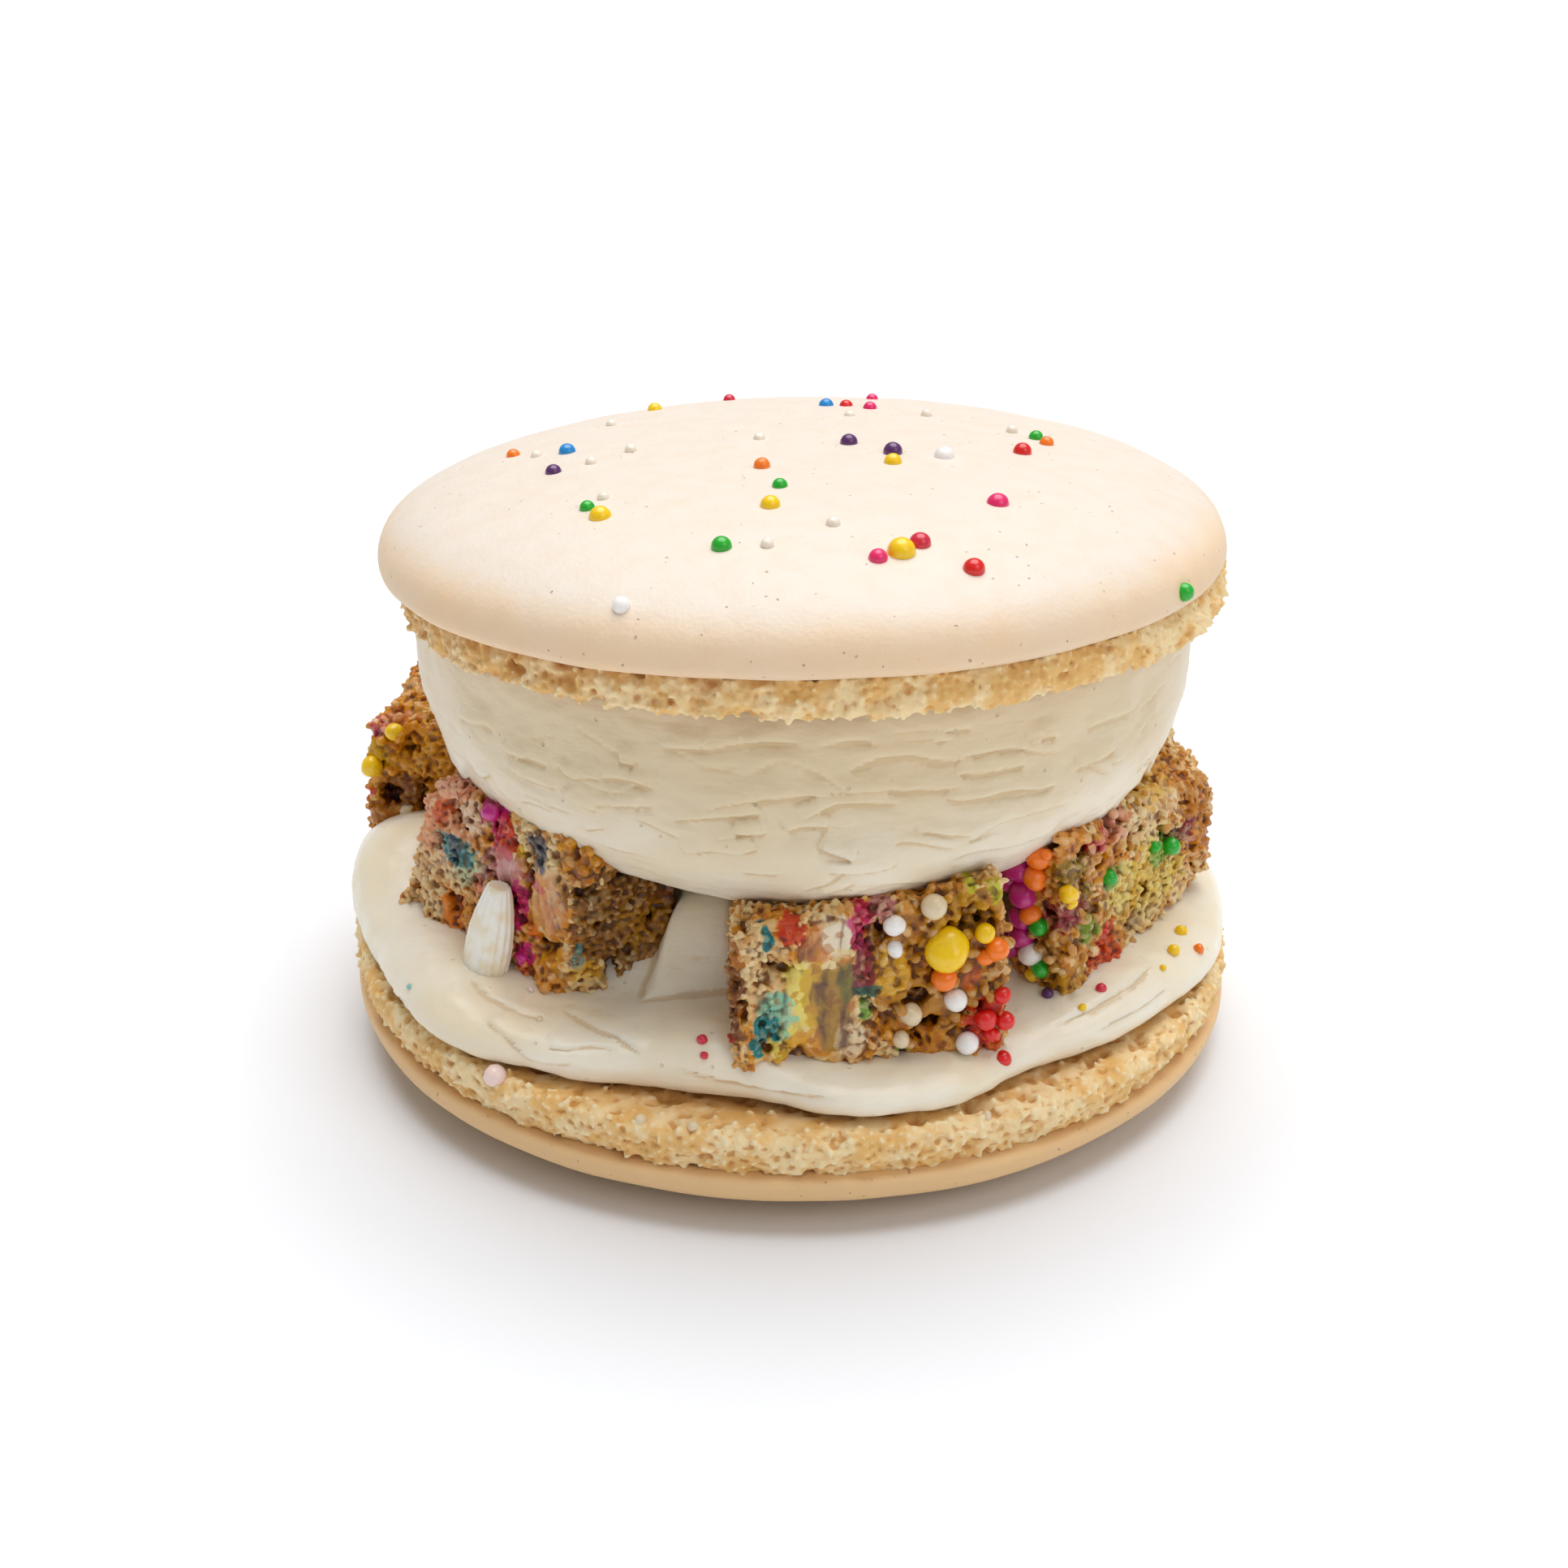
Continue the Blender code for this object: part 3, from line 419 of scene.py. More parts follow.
class Graph:
    """A node tree that is written as expressions."""

    def __init__(self, tree):
        self.tree = tree

    def node(self, kind, settings=None, inputs=None, output=0):
        """Add a node; its inputs get values or are linked to wires."""
        item = self.tree.nodes.new(kind)
        for name, value in (settings or {}).items():
            setattr(item, name, value)
        for key, value in (inputs or {}).items():
            if isinstance(value, Wire):
                self.tree.links.new(value.socket, item.inputs[key])
            else:
                item.inputs[key].default_value = value
        return Wire(self, item.outputs[output]) if item.outputs else item

    def noise(self, place, size, detail=2.0, output="Fac"):
        """Noise around 0.5 whose lumps are about `size` mm wide."""
        inputs = {"Vector": place, "Scale": 1.0 / size, "Detail": detail}
        return self.node("ShaderNodeTexNoise", {}, inputs, output)

    def cells(self, place, size, output="Distance"):
        """Distance to the nearest point of a scatter `size` mm apart, or that point's own colour."""
        return self.node("ShaderNodeTexVoronoi", {}, {"Vector": place, "Scale": 1.0 / size}, output)

    def warped(self, place, size, reach):
        """The place, shifted at random, so that what reads it gets uneven outlines."""
        return place + (self.noise(place, size, 1.0, "Color") - 0.5) * reach

    def blend(self, share, first, second, kind="MIX"):
        """Colour that goes from the first to the second as the share goes from 0 to 1."""
        first, second = (
            item if isinstance(item, Wire) else (*item[:3], 1.0) for item in (first, second)
        )
        settings = {"data_type": "RGBA", "blend_type": kind}
        return self.node("ShaderNodeMix", settings, {0: share, 6: first, 7: second}, 2)


def relief(piece, sculpt):
    """Apply a tree to a piece: sculpt(graph, mesh, place, normal) returns the new geometry."""
    tree = bpy.data.node_groups.new(piece.name + "_relief", "GeometryNodeTree")
    for way in ("INPUT", "OUTPUT"):
        tree.interface.new_socket("Geometry", in_out=way, socket_type="NodeSocketGeometry")
    graph = Graph(tree)
    mesh = graph.node("NodeGroupInput")
    place = graph.node("GeometryNodeInputPosition")
    normal = graph.node("GeometryNodeInputNormal")
    graph.node("NodeGroupOutput", {}, {0: sculpt(graph, mesh, place, normal)})
    apply_modifier(piece, "NODES", node_group=tree)
    bpy.data.node_groups.remove(tree)


def push(graph, mesh, offset):
    """Move every point of a geometry."""
    return graph.node("GeometryNodeSetPosition", {}, {"Geometry": mesh, "Offset": offset})


def note(graph, mesh, name, value):
    """Keep a value at every point, for the material to read."""
    inputs = {"Geometry": mesh, "Name": name, "Value": value}
    return graph.node("GeometryNodeStoreNamedAttribute", {"data_type": "FLOAT"}, inputs)


def crest(graph, place, normal, rounds):
    """How far a point stands above the points around it; below 0 in a crevice."""
    inputs = {"Value": place, "Iterations": rounds}
    around = graph.node("GeometryNodeBlurAttribute", {"data_type": "FLOAT_VECTOR"}, inputs)
    return (place - around).dot(normal)


# Modelling

def start_clean():
    """Leave edit mode and select nothing."""
    if bpy.context.object and bpy.context.object.mode != "OBJECT":
        bpy.ops.object.mode_set(mode="OBJECT")
    bpy.ops.object.select_all(action="DESELECT")


def take(piece):
    """Make a piece the only one selected."""
    start_clean()
    piece.select_set(True)
    bpy.context.view_layer.objects.active = piece


def apply_modifier(piece, kind, **settings):
    """Add a modifier with its settings and apply it."""
    take(piece)
    modifier = piece.modifiers.new(kind.lower(), kind)
    for name, value in settings.items():
        setattr(modifier, name, value)
    bpy.ops.object.modifier_apply(modifier=modifier.name)


def rename(name):
    """Name the object that was just added, and its data."""
    piece = bpy.context.object
    piece.name = name
    piece.data.name = name
    return piece


def turned(name, profile, steps, ring=False):
    """Spin an outline of (radius, height) points; a ring's outline is closed in itself.

    The circle that becomes the outline is closed, so without a ring its closing edge goes.
    """
    start_clean()
    bpy.ops.mesh.primitive_circle_add(vertices=len(profile), radius=1.0)
    piece = rename(name)
    for vert, (radius, height) in zip(piece.data.vertices, profile):
        vert.co = (radius, 0.0, height)
    bpy.ops.object.mode_set(mode="EDIT")
    if not ring:
        bpy.ops.mesh.select_mode(type="EDGE")
        bpy.ops.mesh.select_all(action="DESELECT")
        bpy.ops.object.mode_set(mode="OBJECT")
        ends = {0, len(profile) - 1}
        for edge in piece.data.edges:
            edge.select = set(edge.vertices) == ends
        bpy.ops.object.mode_set(mode="EDIT")
        bpy.ops.mesh.delete(type="EDGE")
        bpy.ops.mesh.select_mode(type="VERT")
    bpy.ops.mesh.select_all(action="SELECT")
    bpy.ops.mesh.spin(steps=steps, angle=math.tau, center=(0, 0, 0), axis=(0, 0, 1))
    bpy.ops.mesh.select_all(action="SELECT")
    bpy.ops.mesh.remove_doubles(threshold=0.001)
    bpy.ops.mesh.normals_make_consistent(inside=False)
    bpy.ops.object.mode_set(mode="OBJECT")
    return piece


def reshape(piece, rule):
    """Move every point of a coarse mesh by a rule on its place."""
    for vert in piece.data.vertices:
        vert.co = rule(vert.co)


def to_metres(piece, location=(0, 0, 0), turn=(0, 0, 0)):
    """Turn and place a piece, bring it to metres, and leave its object at the origin."""
    piece.scale = (MM, MM, MM)
    piece.rotation_euler = turn
    piece.location = Vector(location) * MM
    take(piece)
    bpy.ops.object.transform_apply(location=True, rotation=True, scale=True)


def settle(piece, slot, material, *nodes):
    """Finish a piece: smooth shading, its material, its body and the solids that it stands for."""
    take(piece)
    bpy.ops.object.shade_smooth()
    piece.data.materials.clear()
    piece.data.materials.append(material)
    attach(piece, "root")
    if nodes:
        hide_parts(*nodes)


def smoothstep(low, high, value):
    """0 below low, 1 above high and an eased rise between."""
    share = min(1.0, max(0.0, (value - low) / (high - low)))
    return share * share * (3.0 - 2.0 * share)


def compass(x, y):
    """Angle in degrees from the front, positive towards the right."""
    return math.degrees(math.atan2(x, -y))


def at_compass(angle, radius):
    """Place at a compass angle and a radius."""
    turn = math.radians(angle)
    return radius * math.sin(turn), -radius * math.cos(turn)


def grain(point, size, offset=0.0):
    """Smooth noise from -1 to 1 whose lumps are about `size` mm wide."""
    return noise.noise(Vector(point) / size + Vector((offset, offset * 0.7, -offset)))


# Materials

COAT_ROUGHNESS = 0.15


def paint(name, roughness, glow=0.0, reach=(1.0, 0.6, 0.4), depth=1.0, coat=0.0):
    """A new material: its graph, its shader and the place on the piece in millimetres."""
    material = bpy.data.materials.new(name)
    material.use_nodes = True
    graph = Graph(material.node_tree)
    shader = material.node_tree.nodes["Principled BSDF"]
    shader.inputs["Roughness"].default_value = roughness
    shader.inputs["Subsurface Weight"].default_value = glow
    shader.inputs["Subsurface Radius"].default_value = reach
    shader.inputs["Subsurface Scale"].default_value = depth * MM
    shader.inputs["Coat Weight"].default_value = coat
    shader.inputs["Coat Roughness"].default_value = COAT_ROUGHNESS
    place = graph.node("ShaderNodeTexCoord", {}, {}, "Object") * (1.0 / MM)
    return material, graph, shader, place


def wire_up(graph, shader, **values):
    """Link wires to the shader's sockets; a socket's spaces are written as underscores."""
    for name, value in values.items():
        graph.tree.links.new(value.socket, shader.inputs[name.replace("_", " ")])


def bump(graph, height):
    """A normal from a height that is given in millimetres."""
    inputs = {"Height": height, "Distance": MM, "Strength": 1.0}
    return graph.node("ShaderNodeBump", {}, inputs, "Normal")


def noted(graph, name):
    """A value that relief kept at every point."""
    return graph.node("ShaderNodeAttribute", {"attribute_name": name}, {}, "Fac")


def skin_paint(name, look, tan, middle, start, end):
    """Baked skin: pale in the middle, tan from one radius to the next, with pores and specks."""
    material, graph, shader, place = paint(name, 0.55, glow=0.10, reach=(1.0, 0.7, 0.4), depth=1.2)
    pore_spacing = 0.9
    around = place - middle
    flat = graph.node("ShaderNodeVectorMath", {"operation": "MULTIPLY"}, {0: around, 1: (1.0, 1.0, 0.0)})
    cloudy = graph.noise(place, 9.0, 3.0) - 0.5
    rim = (flat.length() + cloudy * 3.0).between(start, end)
    colour = graph.blend(rim, look.skin_pale, tan)
    mottle = graph.noise(place, 2.2, 4.0).between(0.35, 0.75)
    colour = graph.blend(mottle * 0.16, colour, look.skin_mottle)
    speckled = graph.warped(place, 0.4, 0.4)
    pore = graph.cells(speckled, pore_spacing)
    chance = graph.cells(speckled, pore_spacing, "Color").part("X")
    dot = pore.between(0.14, 0.04) * (chance + rim * 0.22).between(0.70, 0.90)
    colour = graph.blend(dot * 0.5, colour, look.pore)
    fine = graph.noise(place, 0.35, 3.0)
    height = fine * 0.035 - dot * 0.10 + graph.noise(place, 1.4, 2.0) * 0.06
    rough = 0.50 + graph.noise(place, 3.0) * 0.14
    wire_up(graph, shader, Base_Color=colour, Roughness=rough, Normal=bump(graph, height))
    return material


def foot_paint(name, look, rim, inside, share):
    """Baked foot: pale crumb, crevices golden with painted shade, ridges paler with painted highlight, and
    golden by a share inside the rim: its own tan and painted shade.
    """
    material, graph, shader, place = paint(name, 0.62, glow=0.18, reach=(1.0, 0.6, 0.3), depth=1.0)
    ridge = noted(graph, "ridge")
    hollow = noted(graph, "hollow")
    colour = graph.blend(graph.noise(place, 3.0, 3.0).between(0.40, 0.60), look.foot_pale, look.foot_mid)
    # Painted shade: crevices of the foot are painted darker and golden.
    colour = graph.blend(ridge.between(-0.01, -0.09) * 0.85, colour, look.foot_gold_and_shade)
    # Further inside the rim: partly the foot's own baked tan, partly painted shade near the cream.
    colour = graph.blend(hollow.between(rim, inside) * share, colour, look.foot_gold_and_shade)
    # Painted highlight: ridges of the foot are painted paler.
    colour = graph.blend(ridge.between(0.02, 0.12) * 0.6, colour, look.foot_painted_highlight)
    height = graph.noise(place, 0.25, 3.0) * 0.08
    rough = 0.55 + graph.noise(place, 1.0) * 0.15
    wire_up(graph, shader, Base_Color=colour, Roughness=rough, Normal=bump(graph, height))
    return material


def cream_paint(name, look, shade_from, shade_to, folds):
    """Ivory buttercream, satin and slightly see-through; painted shade makes it yellower in its folds and
    high up.
    """
    material, graph, shader, place = paint(name, 0.34, glow=0.35, reach=(1.0, 0.85, 0.6), depth=1.6)
    ridge = noted(graph, "ridge")
    tone = graph.noise(place, 8.0, 3.0).between(0.35, 0.7)
    colour = graph.blend(tone, look.cream, look.cream_warm)
    # Painted shade: high up, where the upper shell overhangs it, the cream is painted darker and yellower.
    shade = (place.part("Z") + tone * 1.5).between(shade_from, shade_to)
    colour = graph.blend(shade, colour, look.cream_painted_shade)
    # Painted shade: crevices of the cream and the strip just below each lip are painted a darker yellow.
    colour = graph.blend(ridge.between(-0.01, -0.05) * 0.5, colour, look.cream_painted_fold_shade)
    colour = graph.blend(noted(graph, "fold") * folds, colour, look.cream_painted_fold_shade)
    smear = graph.noise(place * (1.0, 1.0, 2.4), 1.6, 4.0)
    height = smear * 0.09 + graph.noise(place, 0.4, 2.0) * 0.015
    bubble = graph.cells(place, 2.1).between(0.09, 0.03)
    height = height - bubble * 0.12
    rough = 0.26 + graph.noise(place, 2.0) * 0.16
    wire_up(graph, shader, Base_Color=colour, Roughness=rough, Normal=bump(graph, height))
    return material


def sugar_paint(name, colour):
    """Glossy sugar shell, a little uneven in its colour."""
    material, graph, shader, place = paint(
        name, 0.28, glow=0.12, reach=(1.0, 0.7, 0.5), depth=0.5, coat=0.35)
    deep = tuple(value * 0.82 for value in colour)
    shade = graph.blend(graph.noise(place, 0.5, 2.0).between(0.45, 0.8) * 0.5, colour, deep)
    height = graph.noise(place, 0.22, 2.0) * 0.02
    wire_up(graph, shader, Base_Color=shade, Normal=bump(graph, height))
    return material


# Shells

def dome_height(radius):
    """Height of the upper shell's skin above its lip, in its own frame."""
    share = min(1.0, radius / mm("upper_radius"))
    return UPPER_BULGE_Z + mm("dome_rise") * squarer_ellipse(share, UPPER_DOME_POWER)


def uneven_skin(graph, mesh, place, normal):
    """Slow swells of a baked skin."""
    wide = graph.noise(place, 13.0, 1.0) - 0.5
    small = graph.noise(place, 2.6, 2.0) - 0.5
    return push(graph, mesh, normal * (wide * 0.5 + small * 0.05))


def foot_hollows(graph, mesh, place, normal):
    """Open bays and pores of a foot."""
    lump = graph.noise(place, 3.2, 1.0) - 0.5
    bay = graph.noise(graph.warped(place, 1.6, 1.0) * (1.0, 1.0, 2.0), 2.4, 1.0).between(0.56, 0.66)
    pore = graph.noise(graph.warped(place, 0.9, 0.8), 1.2, 1.0).between(0.56, 0.66)
    return push(graph, mesh, normal * (lump * 0.7 - bay * 0.6 - pore * 0.38 - 0.2))


def foot_crumbs(inner, flat_to):
    """Crumbs over a foot from an inner radius on, fewer up to where its top is flat."""
    def sculpt(graph, mesh, place, normal):
        radius = (place * (1.0, 1.0, 0.0)).length()
        rim = radius.between(flat_to - 0.8, flat_to + 0.4) * 0.9 + 0.1
        share = rim * radius.between(inner, inner + 0.2)
        small = strew(graph, mesh, FOOT_CRUMBS, share, seed=5)
        large = strew(graph, mesh, FOOT_LUMPS, share * 0.35, seed=9)
        return joined(graph, mesh, small, large)
    return sculpt


def mark_crumb(outer_radius):
    """Note how far a point of a foot lies inside its outer face, and its ridges."""
    def sculpt(graph, mesh, place, normal):
        flat = place * (1.0, 1.0, 0.0)
        mesh = note(graph, mesh, "hollow", outer_radius - flat.length())
        return note(graph, mesh, "ridge", crest(graph, place, normal, 3))
    return sculpt


def squarer_ellipse(share, power):
    """Height, as a share, over a share of the radius of an ellipse that a power makes squarer."""
    return (1.0 - share ** power) ** (1.0 / power)


def superellipse(turn, power):
    """Shares across and up at a turn on a quarter of an ellipse that a power makes squarer."""
    return math.cos(turn) ** (2.0 / power), math.sin(turn) ** (2.0 / power)


def make_upper_shell(look):
    """The upper shell's skin and foot, built upright and then tilted."""
    skin_radius = mm("upper_radius")
    outline = [(0.0, -0.3), (17.0, -0.3), (31.0, -0.3), (32.6, -0.3), (33.4, -0.15)]
    outline += [(UPPER_LIP_RADIUS, 0.1), (skin_radius - 0.1, 0.5), (skin_radius, UPPER_BULGE_Z)]
    dome_steps = 14
    for step in range(1, dome_steps):
        out, up = superellipse(math.radians(90.0 * step / dome_steps), UPPER_DOME_POWER)
        outline.append((skin_radius * out, UPPER_BULGE_Z + mm("dome_rise") * up))
    outline.append((0.0, UPPER_BULGE_Z + mm("dome_rise")))
    skin = turned("top_shell_skin", outline, SKIN_STEPS)
    apply_modifier(skin, "SUBSURF", levels=2, render_levels=2)
    relief(skin, uneven_skin)
    to_metres(skin, UPPER_AT, UPPER_TILT)
    material = skin_paint("upper_skin", look, look.skin_tan, UPPER_AT, 31.0, 35.5)
    settle(skin, "shell", material, "top_shell")

    radius = mm("upper_foot_radius")
    depth = mm("upper_foot_depth")
    inside = radius - UPPER_FOOT_WALL
    foot = turned("top_shell_foot", [
        (inside, 0.0), (inside, -depth), (radius - 0.6, -depth), (radius - 0.1, -depth + 0.4),
        (radius - 0.1, -depth + 1.3), (radius - 0.3, -depth + 2.2), (radius - 0.7, -0.3),
        (radius - 1.0, 0.1),
    ], FOOT_STEPS, ring=True)
    reshape(foot, lambda co: Vector((co.x + UPPER_FOOT_AT_X, co.y, co.z)))
    make_crumbly(foot, UPPER_FOOT_CUBES, foot_crumbs(radius - 2.0, radius - 1.5), radius)
    to_metres(foot, UPPER_AT, UPPER_TILT)
    settle(foot, "shell", foot_paint("upper_foot", look, 0.6, 1.6, 0.7), "top_shell")


def make_crumbly(foot, cubes, crumbs, outer_radius):
    """Give a smooth foot its bays, pores and crumbs."""
    before, after = cubes
    apply_modifier(foot, "REMESH", mode="VOXEL", voxel_size=before)
    relief(foot, foot_hollows)
    relief(foot, crumbs)
    apply_modifier(foot, "REMESH", mode="VOXEL", voxel_size=after)
    thin_out(foot, MOST_FOOT_FACES)
    relief(foot, mark_crumb(outer_radius))


def lean(co):
    """Lower the right side a little, less and less down to the floor."""
    return Vector((co.x, co.y, co.z - LEAN * co.x * min(1.0, co.z / LOWER_LIP_Z)))


def make_lower_shell(look):
    """The lower shell's skin and foot."""
    spot = mm("spot_radius")
    radius = mm("lower_radius")
    outline = [(0.0, 0.0), (spot * 0.5, 0.0), (spot, 0.0)]
    curve_steps = 8
    for step in range(1, curve_steps + 1):
        turn = math.radians(90.0 * step / curve_steps)
        rise = mm("lower_rise") * (1.0 - math.cos(turn))
        outline.append((spot + (radius - spot) * math.sin(turn), rise))
    top = LOWER_LIP_Z + 0.2
    outline += [(radius - 0.1, LOWER_LIP_Z - 0.2), (radius - 0.5, LOWER_LIP_Z)]
    outline += [(radius - 1.6, top), (30.0, top), (0.0, top)]
    skin = turned("bottom_shell_skin", outline, SKIN_STEPS)
    reshape(skin, lean)
    apply_modifier(skin, "SUBSURF", levels=2, render_levels=2)
    relief(skin, uneven_skin)
    reshape(skin, lambda co: Vector((co.x, co.y, max(co.z, 0.0))))
    to_metres(skin)
    material = skin_paint("lower_skin", look, look.skin_lower, (0.0, 0.0, 0.0), 20.0, 30.0)
    settle(skin, "shell", material, "bottom_shell")

    radius = mm("lower_foot_radius")
    foot = turned("bottom_shell_foot", [
        (LOWER_FOOT_INSIDE, LOWER_TOP_Z - 0.05), (LOWER_FOOT_INSIDE, LOWER_LIP_Z - 0.1),
        (radius - 1.2, LOWER_LIP_Z - 0.1), (radius - 0.9, LOWER_LIP_Z + 0.6),
        (radius - 0.4, LOWER_LIP_Z + 1.6), (radius - 0.2, LOWER_LIP_Z + 2.6),
        (radius - 0.5, LOWER_TOP_Z - 0.3), (radius - 1.3, LOWER_TOP_Z),
    ], FOOT_STEPS, ring=True)
    reshape(foot, lean)
    make_crumbly(foot, LOWER_FOOT_CUBES, foot_crumbs(30.0, radius - 1.4), radius)
    to_metres(foot)
    settle(foot, "shell", foot_paint("lower_foot", look, 1.0, 4.4, 0.55), "bottom_shell")


# Cream

def bowl_height(radius):
    """Height of the upper cream's underside at a distance from its own axis."""
    share = min(1.0, radius / mm("bowl_radius"))
    return BOWL_RIM_Z - (BOWL_RIM_Z - BOWL_BOTTOM_Z) * squarer_ellipse(share, BOWL_POWER)


def cream_edge(angle):
    """Radius of the lower cream's edge at a compass angle, eased between the named angles."""
    angles = sorted(CREAM_EDGE)
    angles.append(angles[0] + 360)
    while angle < angles[0]:
        angle += 360
    for low, high in zip(angles, angles[1:]):
        if low <= angle <= high:
            start = CREAM_EDGE[low]
            end = CREAM_EDGE[high if high in CREAM_EDGE else high - 360]
            return start + (end - start) * smoothstep(low, high, angle)
    return CREAM_NOMINAL_EDGE


def mound(co):
    """Bring a point of the round mound to its own edge and humps."""
    x, y, z = co
    floor_z = LOWER_TOP_Z
    radius = math.hypot(x, y)
    reach = cream_edge(compass(x, y)) / CREAM_NOMINAL_EDGE
    stands_up = z > floor_z + 0.5
    if stands_up:
        reach += 0.010 * grain(co, 9.0, 2.0)
    share = 1.0 + (reach - 1.0) * smoothstep(15.0, 33.0, radius)
    x *= share
    y *= share
    if stands_up:
        lift = 0.0
        for angle, hump_radius, height, width in CREAM_HUMPS:
            hump_x, hump_y = at_compass(angle, hump_radius)
            lift += height * math.exp(-((math.hypot(x - hump_x, y - hump_y) / width) ** 2))
        rise = smoothstep(floor_z, floor_z + 3.7, z)
        z += lift * rise + 0.25 * grain((x, y, z), 6.0, 4.0) * rise
        under = bowl_height(math.hypot(x - BOWL_AT_X, y)) - 0.1
        z = min(z, under) if radius < 31.0 else z
    return lean(Vector((x, y, z)))


def column(co):
    """Raise the column of cream between two chunks: a lip at its foot, then a slope to its top."""
    x, y, z = co
    share = (y - COLUMN_FOOT[1]) / (COLUMN_TOP[1] - COLUMN_FOOT[1])
    if z < COLUMN_FLOOR_Z or not -0.1 < share < 2.6:
        return co
    inside = min(1.0, max(0.0, share))
    middle = COLUMN_FOOT[0] + (COLUMN_TOP[0] - COLUMN_FOOT[0]) * inside
    half = COLUMN_HALF[0] + (COLUMN_HALF[1] - COLUMN_HALF[0]) * inside
    wall = 1.0 - smoothstep(half - 0.9, half + 0.7, abs(x - middle))
    round_off = 0.6 * ((x - middle) / half) ** 2
    rise = (COLUMN_TOP_Z - z) * smoothstep(0.0, 1.0, share) * (1.0 - smoothstep(1.6, 2.5, share))
    rise += COLUMN_STEP * smoothstep(-0.02, 0.10, share) * (1.0 - smoothstep(0.3, 0.9, share))
    return Vector((x, y, z + max(0.0, rise - round_off) * wall))


def eased(stops, reach):
    """A path with its corners rounded off over so many stops to each side."""
    rounded = []
    for index in range(len(stops)):
        near = stops[max(0, index - reach):index + reach + 1]
        rounded.append(sum(near, Vector()) / len(near))
    return rounded


def carve_lips(piece, lips, uphill, height, ramp):
    """Raise a thin lip along each path: it rises slowly on the uphill side and drops sharply below.

    The shadow below each lip is kept at every point as "fold", for the material to paint as shade.
    """
    path_step = 0.15
    verts = piece.data.vertices
    tree = kdtree.KDTree(len(verts))
    for vert in verts:
        tree.insert(vert.co, vert.index)
    tree.balance()
    normals = [vert.normal.copy() for vert in verts]
    moves = {}
    folds = piece.data.attributes.get("fold") or piece.data.attributes.new("fold", "FLOAT", "POINT")
    for order, path in enumerate(lips):
        stops = []
        path = [tree.find(point)[0] for point in path]
        for start, end in zip(path, path[1:]):
            steps = max(2, round((end - start).length / path_step))
            stops += [start.lerp(end, step / steps) for step in range(steps)]
        stops = eased(stops, reach=6)
        nearest = {}
        for place, stop in enumerate(stops):
            for _, index, away in tree.find_range(stop, ramp):
                if index not in nearest or away < nearest[index][0]:
                    nearest[index] = (away, place)
        tall = height * (0.75 + 0.35 * grain((order * 3.7, 0.5, 0.5), 1.0))
        for index, (away, place) in nearest.items():
            share = place / len(stops)
            fade = smoothstep(0.0, 0.18, share) * (1.0 - smoothstep(0.80, 1.0, share))
            wobble = 1.0 + 0.4 * grain(stops[place], 1.6, 5.0)
            up = uphill(verts[index].co)
            side = (verts[index].co - stops[place]).dot(up)
            # Uphill of the path the surface rises to the lip; just below it, it drops into a fold.
            if side >= 0.0:
                out = (1.0 - smoothstep(0.0, ramp, away)) * wobble
                slip = -0.5 * (1.0 - smoothstep(0.0, 0.6, away))
            else:
                out = 1.0 - 1.5 * smoothstep(0.0, 0.20, away) + 0.5 * smoothstep(0.3, 1.2, away)
                slip = 0.0
                shadow = fade * smoothstep(0.0, 0.10, away) * (1.0 - smoothstep(0.15, 0.5, away))
                folds.data[index].value = max(folds.data[index].value, shadow)
            move = (normals[index] * out + up * slip) * (tall * fade)
            if move.length > moves.get(index, Vector()).length:
                moves[index] = move
    for index, move in moves.items():
        verts[index].co += move


def smeared(slow, fine):
    """Relief of buttercream: slow swells and flat smears."""
    def sculpt(graph, mesh, place, normal):
        swell = graph.noise(place * (1.0, 1.0, 1.6), 7.0, 2.0) - 0.5
        smear = graph.noise(place * (1.0, 1.0, 2.6), 2.2, 3.0) - 0.5
        mesh = push(graph, mesh, normal * (swell * slow + smear * fine))
        return note(graph, mesh, "ridge", crest(graph, place, normal, 4))
    return sculpt


def inwards(co):
    """Uphill on the mound."""
    steepness = 18.0
    return Vector((-co.x, -co.y, steepness)).normalized()


def upwards(co):
    """Uphill on the bowl."""
    return Vector((0.0, 0.0, 1.0))


def make_lower_cream(look):
    """The mound of cream between the chunks, with its column and its lips."""
    floor_z = LOWER_TOP_Z
    edge = CREAM_NOMINAL_EDGE
    outline = [
        (0.0, floor_z), (20.0, floor_z), (edge - 0.6, floor_z), (edge + 0.6, floor_z + 0.4),
        (edge + 1.2, floor_z + 1.1), (edge + 1.4, floor_z + 2.1), (edge + 1.0, floor_z + 3.1),
        (edge - 0.3, floor_z + 3.9), (edge - 2.2, floor_z + 4.3), (edge - 4.4, floor_z + 4.5),
        (28.5, floor_z + 4.6), (27.0, 14.0), (25.6, 15.2), (24.2, 16.4), (22.8, 17.5), (19.8, 18.9),
        (15.0, MOUND_TOP_Z + 0.3), (8.0, MOUND_TOP_Z), (0.0, MOUND_TOP_Z),
    ]
    piece = turned("lower_cream_spread", outline, MOUND_STEPS)
    reshape(piece, mound)
    apply_modifier(piece, "SUBSURF", levels=3, render_levels=3)
    reshape(piece, column)
    carve_lips(piece, LOWER_LIPS, inwards, 0.9 * mm("lip_height"), mm("lip_reach"))
    relief(piece, smeared(0.8, 0.22))
    to_metres(piece)
    settle(piece, "cream", cream_paint("lower_cream", look, 60.0, 61.0, 0.1), "lower_cream")


